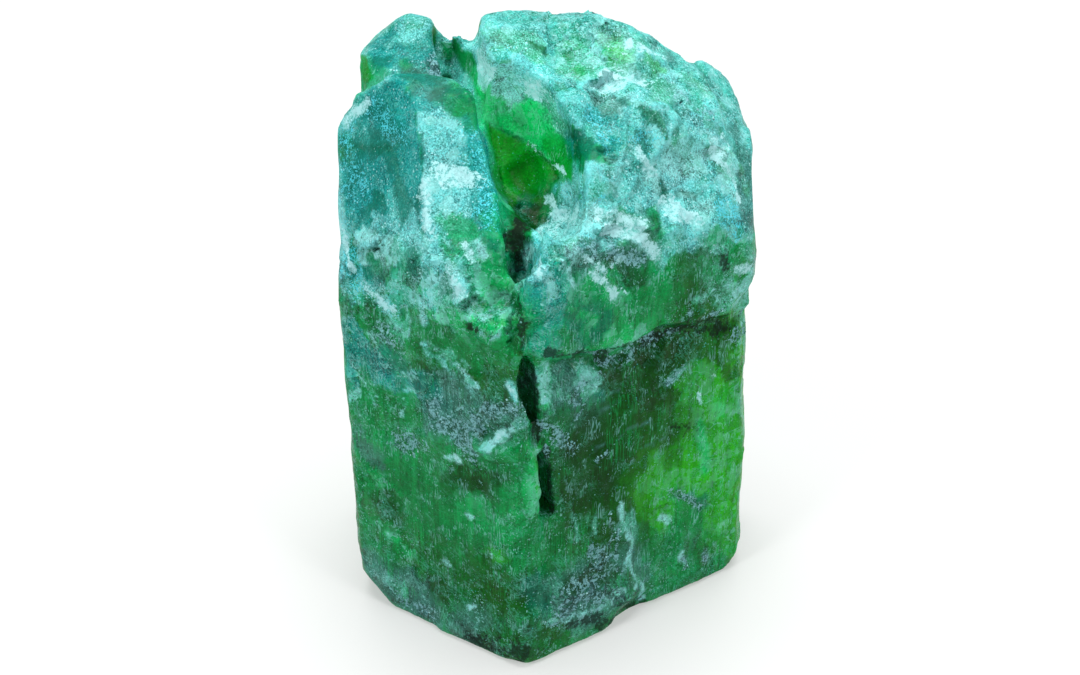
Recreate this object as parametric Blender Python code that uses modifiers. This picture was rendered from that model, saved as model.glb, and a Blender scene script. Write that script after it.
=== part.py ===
# Raw emerald crystal, all one solid: a hexagonal prism with a broken, sloping top, a shorter thumb of
# crystal grown against its front left, and a small pointed one behind. A hollow and a crack part the thumb
# from the rest.
# Run with: blender --background --python part.py
# Metres, +Z up. The origin is under the middle of the crystal, on the surface that it stands on.
# The front, with the crack near its middle edge, looks along -Y.

import math

import bmesh
import bpy
import numpy as np
from mathutils import Matrix, Vector, noise

MM = 0.001

# Driving dimensions, in millimetres.
HEIGHT = 50.0          # base to the top ridge
BLOCK = 150.0          # the block that each prism is cut from
FRONT_EDGE = (-2.8, -15.8)
RIGHT, LEFT = -56, -123  # the azimuths that the two front faces look along
REMESH_STEP = 0.42     # the spacing of the surface points while the relief is raised
TRIANGLES = 9300       # what the finished solid keeps
REST_DEPTH = 0.12      # what lies this close to the base is made flat

# Each prism is cut from a block by planes. A side is an azimuth (0 is +X, 90 is +Y), a tilt from level and
# a point at the base that it passes through. A top is an azimuth, a tilt from level and a point in space.
MAIN = {
    "sides": [
        (RIGHT, 90, FRONT_EDGE),
        (LEFT, 90, (-2.15, -15.35)),
        (-18, 89, (16.5, -2.9)),
        (2, 89, (16.95, -1.5)),
        (62, 89.4, (6.5, 12.3)),
        (122, 90, (-7.1, 11.6)),
        (180, 78, (-16.2, 0.0)),
    ],
    "tops": [
        (0, 0, (0.0, 0.0, HEIGHT - 0.5)),
        (-78, 29, (0.0, -11.0, 41.6)),
        (-50, 60, (-1.0, -14.0, 39.8)),
        (-18, 41, (11.4, 2.5, 44.6)),
        (6, 66, (15.4, 1.0, 42.6)),
        (64, 47, (6.5, 7.0, 47.4)),
        (108, 50, (-3.5, 7.2, 48.6)),
        (-163, 85, (-3.0, -12.0, 38.0)),
        (176, 48, (-8.8, 4.5, 48.4)),
    ],
}
THUMB = {
    "sides": [
        (RIGHT, 90, (-3.0, -15.75)),
        (LEFT, 90, FRONT_EDGE),
        (-160, 91, (-16.6, -6.4)),
        (178, 91, (-16.7, -2.0)),
        (120, 90, (-13.0, 6.5)),
        (20, 90, (-3.0, -8.0)),
    ],
    "tops": [
        (0, 0, (0.0, 0.0, 47.2)),
        (-140, 69, (-9.42, -11.24, 37.15)),
        (-84, 54, (-9.42, -11.24, 37.15)),
        (16, 76, (-2.9, -9.0, 41.0)),
        (34, 58, (-4.4, -3.4, 44.8)),
        (70, 52, (-10.0, 0.5, 46.4)),
        (168, 58, (-16.3, -1.5, 44.3)),
        (120, 44, (-13.0, 0.5, 46.4)),
    ],
}
REAR = {
    "sides": [
        (-118, 90, (-12.5, -2.0)),
        (-60, 90, (-8.0, 0.0)),
        (182, 90, (-15.7, 6.0)),
        (122, 90, (-12.0, 11.0)),
        (62, 90, (-8.0, 12.0)),
        (0, 90, (-5.5, 5.0)),
    ],
    "tops": [
        (0, 0, (0.0, 0.0, 48.3)),
        (-72, 38, (-10.6, 4.7, 48.1)),
        (-150, 62, (-14.2, 4.0, 46.6)),
        (172, 38, (-15.3, 6.5, 45.6)),
        (70, 45, (-10.6, 7.2, 48.0)),
        (20, 44, (-8.3, 6.0, 48.0)),
    ],
}

# Chips along the foot: an azimuth, a tilt that leans the cut outwards and up, and a point on the base.
CHIPS = [
    (-156, 126, (-14.7, -6.6, 0.0)),
    (-178, 118, (-15.9, 0.0, 0.0)),
    (-8, 128, (15.6, -3.0, 0.0)),
    (-40, 124, (14.2, -4.8, 0.0)),
    (-100, 118, (-3.4, -15.0, 0.0)),
    (34, 128, (13.2, 8.2, 0.0)),
    (92, 124, (-0.5, 14.2, 0.0)),
    (142, 122, (-12.0, 8.6, 0.0)),
]

# Hollows cut from the joined prisms: a centre, three radii, and turns about X, Y and Z in degrees.
HOLLOWS = {
    "valley": {"at": (-1.6, -6.2, 44.2), "radii": (3.5, 8.0, 7.2), "turn": (16, 0, 20)},
    "notch": {"at": (-7.3, 2.5, 47.2), "radii": (1.5, 6.5, 5.0), "turn": (10, 0, 22)},
    "throat": {"at": (-2.6, -11.4, 41.6), "radii": (1.45, 4.9, 6.6), "turn": (8, 0, 14)},
    "top scoop": {"at": (5.6, -6.9, 50.4), "radii": (6.5, 5.4, 6.4), "turn": (20, 0, 0)},
    "knob scoop": {"at": (6.2, -12.6, 46.6), "radii": (4.4, 6.4, 6.4), "turn": (0, 0, 34)},
    "shoulder scoop": {"at": (12.9, -8.6, 43.9), "radii": (4.6, 6.6, 6.0), "turn": (0, 0, 40)},
    "ridge scoop": {"at": (1.0, 0.4, 54.6), "radii": (4.6, 6.2, 7.4), "turn": (26, 0, -20)},
    "flank scoop": {"at": (13.9, 2.6, 51.2), "radii": (4.4, 6.2, 7.2), "turn": (0, 34, 10)},
    "cavity": {"at": (-2.0, -15.1, 28.4), "radii": (0.9, 1.3, 2.3), "turn": (0, 0, 20)},
}


def direction(azimuth, tilt):
    """The unit vector that leans by tilt degrees from straight up, towards azimuth."""
    a, t = math.radians(azimuth), math.radians(tilt)
    return Vector((math.cos(a) * math.sin(t), math.sin(a) * math.sin(t), math.cos(t)))


def slice_off(bm, point, normal):
    """Cuts away what lies beyond the plane, and closes the cut."""
    geometry = bm.verts[:] + bm.edges[:] + bm.faces[:]
    cut = bmesh.ops.bisect_plane(
        bm, geom=geometry, plane_co=point, plane_no=normal, clear_outer=True, dist=1e-7
    )
    rim = [e for e in cut["geom_cut"] if isinstance(e, bmesh.types.BMEdge)]
    if rim:
        bmesh.ops.holes_fill(bm, edges=rim, sides=0)


def object_from(bm, name):
    bmesh.ops.recalc_face_normals(bm, faces=bm.faces)
    mesh = bpy.data.meshes.new(name)
    bm.to_mesh(mesh)
    bm.free()
    return bpy.data.objects.new(name, mesh)


def crystal_prism(name, form):
    """One prism with its terminating faces."""
    bm = bmesh.new()
    bmesh.ops.create_cube(bm, size=BLOCK * MM)
    for azimuth, tilt, (x, y) in form["sides"]:
        slice_off(bm, Vector((x, y, 0)) * MM, direction(azimuth, tilt))
    for azimuth, tilt, point in form["tops"] + CHIPS:
        slice_off(bm, Vector(point) * MM, direction(azimuth, tilt))
    slice_off(bm, Vector((0, 0, 0)), Vector((0, 0, -1)))
    return object_from(bm, name)


def hollow_cutter(name, form):
    bm = bmesh.new()
    turn = [math.radians(a) for a in form["turn"]]
    place = Matrix.Translation(Vector(form["at"]) * MM)
    for axis, angle in zip("ZYX", reversed(turn)):
        place = place @ Matrix.Rotation(angle, 4, axis)
    place = place @ Matrix.Diagonal((*[r * MM for r in form["radii"]], 1))
    bmesh.ops.create_icosphere(bm, subdivisions=4, radius=1, matrix=place)
    return object_from(bm, name)


def gap_cutter(name, form):
    """A narrow block set into the right front face, along a length of the crack."""
    levels, along = CRACK["level"][::-1], CRACK["along"][::-1]
    low, high = sorted(form["levels"])
    start = np.array((np.interp(low, levels, along), low))
    end = np.array((np.interp(high, levels, along), high))
    middle, span = (start + end) / 2, end - start
    facing = math.radians(RIGHT + 90)
    edge = Vector((*FRONT_EDGE, 0))
    place = Matrix.Translation(edge * MM) @ Matrix.Rotation(facing, 4, "Z")
    place = place @ Matrix.Translation(Vector((middle[0], 0, middle[1])) * MM)
    place = place @ Matrix.Rotation(math.atan2(span[0], span[1]), 4, "Y")
    size = Vector((form["width"], form["depth"] * 2, np.hypot(*span))) * MM
    bm = bmesh.new()
    bmesh.ops.create_cube(bm, size=1, matrix=place @ Matrix.Diagonal((*size, 1)))
    return object_from(bm, name)


def combine(target, other, operation):
    helpers.objects.link(other)
    other.hide_render = True
    other.display_type = "WIRE"
    joined = target.modifiers.new(other.name, "BOOLEAN")
    joined.operation = operation
    joined.solver = "EXACT"
    joined.object = other


# The relief is raised along the surface, in millimetres. Places on the two front faces are given by how far
# they lie from the front edge, and by their height.
FACETS = {"cells": 700, "seed": 11, "tilt": 0.085, "step": 0.09}
COARSE_FACETS = {"cells": 110, "seed": 4, "tilt": 0.06, "step": 0.16}
WEATHER = {"size": 5.0, "height": 0.14, "fine_size": 1.9, "fine_height": 0.06}
STRIATION = {"size": 1.25, "stretch": 26.0, "height": 0.14}
BREAK_LINE = {
    "along": (0.0, 1.3, 5.0, 9.6, 13.5, 18.0, 22.6, 26.0),
    "level": (31.2, 30.7, 28.9, 28.2, 28.6, 27.6, 26.9, 26.2),
    "proud": 0.62, "under": 0.55, "groove": 0.5, "fade": 8.0,
}
CRACK = {
    "along": (0.3, 1.1, 1.4, 1.5, 1.9, 2.5, 2.9, 3.0, 3.3, 3.6),
    "level": (38.0, 32.5, 28.8, 26.0, 21.8, 20.0, 17.7, 14.8, 9.5, 2.7),
    "groove": (0.5, 0.55, 0.4, 0.3, 0.3, 0.3, 0.3, 0.3, 0.35, 0.1),
    "width": 0.55,
}
# The crack stands open in places: from one level to another, how wide and how deep.
GAPS = [
    {"levels": (29.4, 25.8), "width": 1.15, "depth": 2.6},
    {"levels": (26.2, 21.4), "width": 0.95, "depth": 2.3},
    {"levels": (21.9, 19.6), "width": 0.9, "depth": 1.8},
    {"levels": (20.2, 14.2), "width": 1.35, "depth": 2.6},
]
RIGHT_LUMPS = {
    "shoulder": {"at": (2.4, 36.6), "radii": (3.4, 4.2), "height": 0.55},
    "sliver": {"at": (0.9, 18.0), "radii": (1.0, 3.2), "height": 0.45},
    "tongue": {"at": (5.4, 25.4), "radii": (3.6, 2.5), "height": 0.42},
    "crust": {"at": (9.8, 26.4), "radii": (2.6, 1.3), "height": 0.38},
    "edge chip": {"at": (22.6, 28.2), "radii": (1.6, 1.5), "height": -1.0},
    "foot": {"at": (4.5, 0.5), "radii": (7.5, 7.0), "height": 0.8},
    "foot chip": {"at": (11.5, 0.4), "radii": (2.6, 1.8), "height": -0.6},
    "vein": {"at": (11.0, 7.0), "radii": (0.7, 4.6), "height": 0.24},
    "low dip": {"at": (16.0, 12.0), "radii": (4.0, 6.0), "height": -0.25},
}
LEFT_LUMPS = {
    "bar": {"at": (2.2, 21.6), "radii": (2.4, 0.95), "height": 0.6},
    "crust": {"at": (5.6, 20.6), "radii": (3.8, 2.4), "height": 0.4},
    "upper crust": {"at": (2.8, 24.8), "radii": (1.8, 1.2), "height": 0.25},
    "shelf": {"at": (4.0, 32.6), "radii": (4.6, 1.6), "height": 0.42},
    "shell": {"at": (4.6, 29.0), "radii": (4.0, 1.5), "height": -0.4},
    "side scar": {"at": (12.6, 31.0), "radii": (3.4, 3.2), "height": -0.38},
    "flank": {"at": (12.4, 22.0), "radii": (4.4, 4.4), "height": -0.4},
    "toe": {"at": (4.0, 0.0), "radii": (4.0, 4.0), "height": 0.4},
}


def smooth(value, low, high):
    t = np.clip((value - low) / (high - low), 0, 1)
    return t * t * (3 - 2 * t)


def noise_at(points, size, stretch=1.0, shift=0.0):
    """Smooth noise from -1 to 1, one value for each point, drawn out upwards by stretch."""
    scaled = points / (size, size, size * stretch) + shift
    return np.array([noise.noise(Vector(p)) for p in scaled]) * 1.6


def broken_facets(points, form):
    """Flat, tilted patches with steps between them, as on a rough break."""
    random = np.random.default_rng(form["seed"])
    low, high = points.min(0) - 1, points.max(0) + 1
    centres = random.uniform(low, high, (form["cells"], 3))
    tilts = random.normal(0, form["tilt"], (form["cells"], 3))
    steps = random.normal(0, form["step"], form["cells"])
    nearest = np.empty(len(points), int)
    for start in range(0, len(points), 4000):
        part = points[start : start + 4000]
        nearest[start : start + 4000] = ((part[:, None] - centres) ** 2).sum(2).argmin(1)
    lean = ((points - centres[nearest]) * tilts[nearest]).sum(1)
    return np.clip(lean + steps[nearest], -0.5, 0.5)


def lumps(along, level, ragged, forms):
    total = np.zeros(len(along))
    for form in forms.values():
        (s, z), (across, tall) = form["at"], form["radii"]
        reach = np.hypot((along - s) / across, (level - z) / tall) + 0.3 * ragged
        total += form["height"] * (1 - smooth(reach, 0.62, 1.05))
    return total


def evened(mesh, values):
    """Each value averaged with its neighbours, which takes the spikes off the steps."""
    ends = np.empty(len(mesh.edges) * 2, int)
    mesh.edges.foreach_get("vertices", ends)
    first, second = ends.reshape(-1, 2).T
    shares = np.bincount(first, minlength=len(values)) + np.bincount(second, minlength=len(values))
    total = np.bincount(first, values[second], len(values))
    total += np.bincount(second, values[first], len(values))
    return 0.4 * values + 0.6 * total / np.maximum(shares, 1)


def raise_relief(mesh):
    count = len(mesh.vertices)
    points, normals = np.empty(count * 3), np.empty(count * 3)
    mesh.vertices.foreach_get("co", points)
    mesh.vertices.foreach_get("normal", normals)
    points, normals = points.reshape(-1, 3) / MM, normals.reshape(-1, 3)
    x, y, z = points.T
    above = smooth(z, 0.3, 3.0)
    top = smooth(normals[:, 2], 0.22, 0.5)
    side = 1 - top
    edge_x, edge_y = FRONT_EDGE

    right = np.array(direction(RIGHT, 90))
    run = np.array((-right[1], right[0], 0))
    along = (points - (edge_x, edge_y, 0)) @ run
    on_right = smooth(normals @ right, 0.45, 0.85)
    line = np.interp(along, BREAK_LINE["along"], BREAK_LINE["level"])
    line += 0.35 * noise_at(points, 1.7, shift=3.1)
    over = z - line
    ledge = BREAK_LINE["proud"] * smooth(over, 0.0, 0.35) * (1 - smooth(over, 5.0, 9.0))
    below = (1 - smooth(over, -0.5, 0.1)) * smooth(over, -BREAK_LINE["fade"], -0.5)
    ledge -= BREAK_LINE["under"] * below
    ledge -= BREAK_LINE["groove"] * np.exp(-(((over + 0.35) / 0.5) ** 2))
    ledge *= smooth(along, 1.6, 3.4)
    ragged = noise_at(points, 2.2, shift=5.5)
    relief = on_right * (ledge + lumps(along, z, ragged, RIGHT_LUMPS))
    crack = np.interp(z, CRACK["level"][::-1], CRACK["along"][::-1])
    groove = np.interp(z, CRACK["level"][::-1], CRACK["groove"][::-1])
    relief -= on_right * groove * np.exp(-(((along - crack) / CRACK["width"]) ** 2))

    left = np.array(direction(LEFT, 90))
    away = (points - (edge_x, edge_y, 0)) @ np.array((left[1], -left[0], 0))
    on_left = smooth(normals @ left, 0.45, 0.85)
    relief += on_left * lumps(away, z, ragged, LEFT_LUMPS)

    thumb = (1 - smooth(x, -4.5, -3.0)) * smooth(z, 33.0, 36.0) * (1 - smooth(y, 1.0, 3.0))
    rough = (0.12 + 0.88 * top) * (1 - 0.75 * thumb)
    wear = rough * (broken_facets(points, FACETS) + broken_facets(points, COARSE_FACETS))
    wear += WEATHER["height"] * noise_at(points, WEATHER["size"])
    wear += WEATHER["fine_height"] * noise_at(points, WEATHER["fine_size"], shift=7.7)
    wear += side * STRIATION["height"] * noise_at(points, STRIATION["size"], STRIATION["stretch"], 1.3)
    relief += wear * (0.25 + 0.75 * above)

    relief = evened(mesh, relief)
    points += normals * relief[:, None]
    mesh.vertices.foreach_set("co", (points * MM).ravel())
    mesh.update()


def centre_on_base(mesh):
    """Moves the crystal so that its box stands centred on the origin."""
    spots = np.array([vertex.co for vertex in mesh.vertices])
    middle = (spots.max(0) + spots.min(0)) / 2
    mesh.transform(Matrix.Translation((-middle[0], -middle[1], 0)))


def settle_on_base(mesh):
    """Flattens the base, which is the face that the crystal stands on."""
    for vertex in mesh.vertices:
        if vertex.co.z < REST_DEPTH * MM:
            vertex.co.z = 0


def stone_material():
    """Clear to cloudy green stone."""
    made = bpy.data.materials.new("emerald")
    made.use_nodes = True
    shader = made.node_tree.nodes["Principled BSDF"]
    shader.inputs["Base Color"].default_value = (0.03, 0.26, 0.12, 1)
    shader.inputs["Roughness"].default_value = 0.4
    shader.inputs["Metallic"].default_value = 0
    shader.inputs["IOR"].default_value = 1.58
    shader.inputs["Transmission Weight"].default_value = 0.3
    return made


for old in list(bpy.data.objects):
    bpy.data.objects.remove(old)
collection = bpy.data.collections.new("raw_emerald_crystal")
bpy.context.scene.collection.children.link(collection)
helpers = bpy.data.collections.new("cutters")
bpy.context.scene.collection.children.link(helpers)

crystal = crystal_prism("emerald_crystal", MAIN)
collection.objects.link(crystal)
for name, form in (("thumb", THUMB), ("rear", REAR)):
    combine(crystal, crystal_prism(name, form), "UNION")
for name, form in HOLLOWS.items():
    combine(crystal, hollow_cutter(name, form), "DIFFERENCE")
for number, form in enumerate(GAPS):
    combine(crystal, gap_cutter(f"gap_{number}", form), "DIFFERENCE")
skin = crystal.modifiers.new("skin", "REMESH")
skin.mode = "VOXEL"
skin.voxel_size = REMESH_STEP * MM
skin.adaptivity = 0
graph = bpy.context.evaluated_depsgraph_get()
surface = bpy.data.meshes.new_from_object(crystal.evaluated_get(graph), depsgraph=graph)
crystal.modifiers.clear()
crystal.data = surface
surface.materials.append(stone_material())
raise_relief(surface)
settle_on_base(surface)
centre_on_base(surface)
worn = crystal.modifiers.new("worn", "SMOOTH")
worn.factor = 0.5
worn.iterations = 1
thin = crystal.modifiers.new("thin", "DECIMATE")
thin.ratio = min(1.0, TRIANGLES / (2 * len(surface.polygons)))
thin.use_collapse_triangulate = True
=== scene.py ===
import math

import bmesh
import bpy
import numpy as np
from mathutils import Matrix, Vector, noise


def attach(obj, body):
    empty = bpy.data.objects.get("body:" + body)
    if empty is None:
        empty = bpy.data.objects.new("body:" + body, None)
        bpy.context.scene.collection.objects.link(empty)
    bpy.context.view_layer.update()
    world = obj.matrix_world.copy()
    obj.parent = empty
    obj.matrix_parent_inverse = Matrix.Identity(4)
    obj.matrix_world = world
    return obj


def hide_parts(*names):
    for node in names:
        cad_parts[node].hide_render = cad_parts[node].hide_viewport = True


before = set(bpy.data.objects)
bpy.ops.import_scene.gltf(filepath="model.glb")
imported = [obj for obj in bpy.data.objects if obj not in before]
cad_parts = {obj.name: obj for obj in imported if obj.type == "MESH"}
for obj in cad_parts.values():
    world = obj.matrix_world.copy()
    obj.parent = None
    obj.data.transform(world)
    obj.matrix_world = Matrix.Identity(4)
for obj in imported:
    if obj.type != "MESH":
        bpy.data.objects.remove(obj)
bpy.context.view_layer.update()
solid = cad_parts["emerald_crystal"]
mm = 0.001
print("frame loaded")


# An output socket that takes part in plain expressions. Numbers and sockets mix freely.
class Wire:
    def __init__(self, tree, socket):
        self.tree, self.socket = tree, socket

    def other(self, name):
        return Wire(self.tree, self.socket.node.outputs[name])

    def __add__(self, value):
        return self.tree.maths("ADD", self, value)

    def __radd__(self, value):
        return self.tree.maths("ADD", value, self)

    def __sub__(self, value):
        return self.tree.maths("SUBTRACT", self, value)

    def __rsub__(self, value):
        return self.tree.maths("SUBTRACT", value, self)

    def __mul__(self, value):
        return self.tree.maths("MULTIPLY", self, value)

    def __rmul__(self, value):
        return self.tree.maths("MULTIPLY", value, self)

    def __truediv__(self, value):
        return self.tree.maths("DIVIDE", self, value)


# A node tree, with the few kinds of node that the materials and the relief are made of.
class Tree:
    def __init__(self, nodeTree):
        self.made = nodeTree

    def fill(self, socket, value):
        if isinstance(value, Wire):
            self.made.links.new(value.socket, socket)
        elif socket.type in ("VECTOR", "RGBA") and not hasattr(value, "__len__"):
            socket.default_value = [value] * len(socket.default_value)
        elif socket.type == "RGBA" and len(value) == 3:
            socket.default_value = (*value, 1)
        else:
            socket.default_value = value

    # settings are the node's own properties, inputs are its sockets by name or number
    def node(self, kind, settings=None, inputs=None, output=0):
        made = self.made.nodes.new(kind)
        for name, value in (settings or {}).items():
            setattr(made, name, value)
        for key, value in (inputs or {}).items():
            self.fill(made.inputs[key], value)
        return Wire(self, made.outputs[output]) if made.outputs else made

    def maths(self, operation, *values):
        wide = [v for v in values if isinstance(v, (tuple, Vector))]
        wide += [v for v in values if isinstance(v, Wire) and v.socket.type in ("VECTOR", "RGBA")]
        kind = "ShaderNodeVectorMath" if wide else "ShaderNodeMath"
        return self.node(kind, {"operation": operation}, dict(enumerate(values)))

    def dot(self, first, second):
        settings = {"operation": "DOT_PRODUCT"}
        return self.node("ShaderNodeVectorMath", settings, {0: first, 1: second}, "Value")

    # the greater of the two
    def most(self, first, second):
        return self.maths("MAXIMUM", first, second)

    # a value kept on the mesh's points
    def mark(self, name, output="Fac"):
        return self.node("ShaderNodeAttribute", {"attribute_name": name}, None, output)

    # 0 below low, 1 above high, and a soft step between
    def rise(self, value, low, high):
        inputs = {"Value": value, "From Min": low, "From Max": high}
        return self.node("ShaderNodeMapRange", {"interpolation_type": "SMOOTHSTEP"}, inputs)

    # from first to second as factor goes from 0 to 1
    def blend(self, factor, first, second):
        inputs = {0: factor, 6: first, 7: second}
        return self.node("ShaderNodeMix", {"data_type": "RGBA"}, inputs, 2)

    # cloudy noise from about 0 to 1, with features of the given size in the units of place
    def cloud(self, place, size, detail=2.0, rough=0.5, output="Fac"):
        inputs = {"Vector": place, "Scale": 1 / size, "Detail": detail, "Roughness": rough}
        return self.node("ShaderNodeTexNoise", None, inputs, output)

    # a cell pattern: the wire gives the distance to the cell's middle
    def cells(self, place, size, spread=1.0, feature="F1"):
        inputs = {"Vector": place, "Scale": 1 / size, "Randomness": spread}
        return self.node("ShaderNodeTexVoronoi", {"feature": feature}, inputs, "Distance")

    # one of the three numbers by chance that each cell has as its colour
    def chance(self, cells, index):
        return self.dot(cells.other("Color"), [(1, 0, 0), (0, 1, 0), (0, 0, 1)][index])

    # a flat patch for each cell, leaning its own way
    def leaning(self, place, cells):
        return self.dot(place - cells.other("Position"), cells.other("Color") - 0.5)

    # 1 on the lines where a cloud passes its middle, and 0 a little beside them
    def ridge(self, cloud, thin):
        return self.rise(self.maths("ABSOLUTE", cloud - 0.5), thin, 0.0)


# Colours of the stone, as 0 to 255 on the screen.
tones = {
    "leaf": (6, 128, 62), "slate": (52, 112, 98), "olive": (2, 84, 0), "deep": (0, 62, 4),
    "emerald": (0, 160, 80), "bright": (20, 194, 100), "glow": (38, 168, 8), "grass": (0, 140, 16),
    "teal": (10, 140, 136), "pine": (4, 104, 84), "aqua": (78, 194, 188), "ice": (104, 206, 208),
    "mint": (80, 184, 154), "lime": (70, 188, 104), "frosting": (150, 230, 228),
    "mist": (96, 212, 206), "cyan": (84, 214, 230), "white": (188, 242, 246),
    "grime": (14, 18, 20), "dusk": (26, 82, 82), "lilac": (136, 196, 204),
}


def linear(tone):
    shares = [part / 255 for part in tones[tone]]
    return tuple(s / 12.92 if s <= 0.04045 else ((s + 0.055) / 1.055) ** 2.4 for s in shares)


# The skin: the solid's form with enough points to carry fine relief.
skin = {
    "step": 0.295,  # mm between points
    "evenings": 4,  # rounds of smoothing that take off the remesh's stairs
    "sharpFrom": 32,  # degrees between faces that still shade as an edge
}


def applied(piece, name):
    graph = bpy.context.evaluated_depsgraph_get()
    made = bpy.data.meshes.new_from_object(piece.evaluated_get(graph), depsgraph=graph)
    piece.modifiers.clear()
    piece.data = made
    made.name = name
    return made


def stoneSkin():
    copy = solid.data.copy()
    bm = bmesh.new()
    bm.from_mesh(copy)
    bmesh.ops.remove_doubles(bm, verts=bm.verts, dist=1e-6)
    bm.to_mesh(copy)
    bm.free()
    copy.materials.clear()
    piece = bpy.data.objects.new("emerald", copy)
    bpy.context.scene.collection.objects.link(piece)
    remesh = piece.modifiers.new("points", "REMESH")
    remesh.mode = "VOXEL"
    remesh.voxel_size = skin["step"] * mm
    even = piece.modifiers.new("even", "SMOOTH")
    even.factor = 0.5
    even.iterations = skin["evenings"]
    applied(piece, "emerald")
    return piece


def pointArrays(mesh):
    places = np.empty(len(mesh.vertices) * 3)
    normals = np.empty(len(mesh.vertices) * 3)
    mesh.vertices.foreach_get("co", places)
    mesh.vertices.foreach_get("normal", normals)
    return places.reshape(-1, 3) / mm, normals.reshape(-1, 3)


def smoothStep(value, low, high):
    t = np.clip((value - low) / (high - low), 0, 1)
    return t * t * (3 - 2 * t)


def wander(places, size, shift):
    spots = places / size + shift
    return np.array([noise.noise_vector(Vector(spot)) for spot in spots])


# The middle of the cell that each place falls in, for a rough mosaic with cells of this size.
def cellMiddles(places, size, shift):
    size = np.array(size, float)
    spots = places / size + shift
    found = np.array([noise.voronoi(Vector(spot))[1][0] for spot in spots])
    return (found - shift) * size


# How far each place lies from a line through the points, in mm.
def reachFrom(places, points):
    points = [np.array(p, float) for p in points]
    if len(points) == 1:
        points = points * 2
    nearest = np.full(len(places), 1e9)
    for start, end in zip(points, points[1:]):
        run = end - start
        share = np.clip((places - start) @ run / max(run @ run, 1e-9), 0, 1)
        gap = np.linalg.norm(places - start - share[:, None] * run, axis=1)
        nearest = np.minimum(nearest, gap)
    return nearest


def keep(mesh, name, values):
    layer = mesh.attributes.new(name, "FLOAT", "POINT")
    layer.data.foreach_set("value", np.asarray(values, np.float32))


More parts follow.
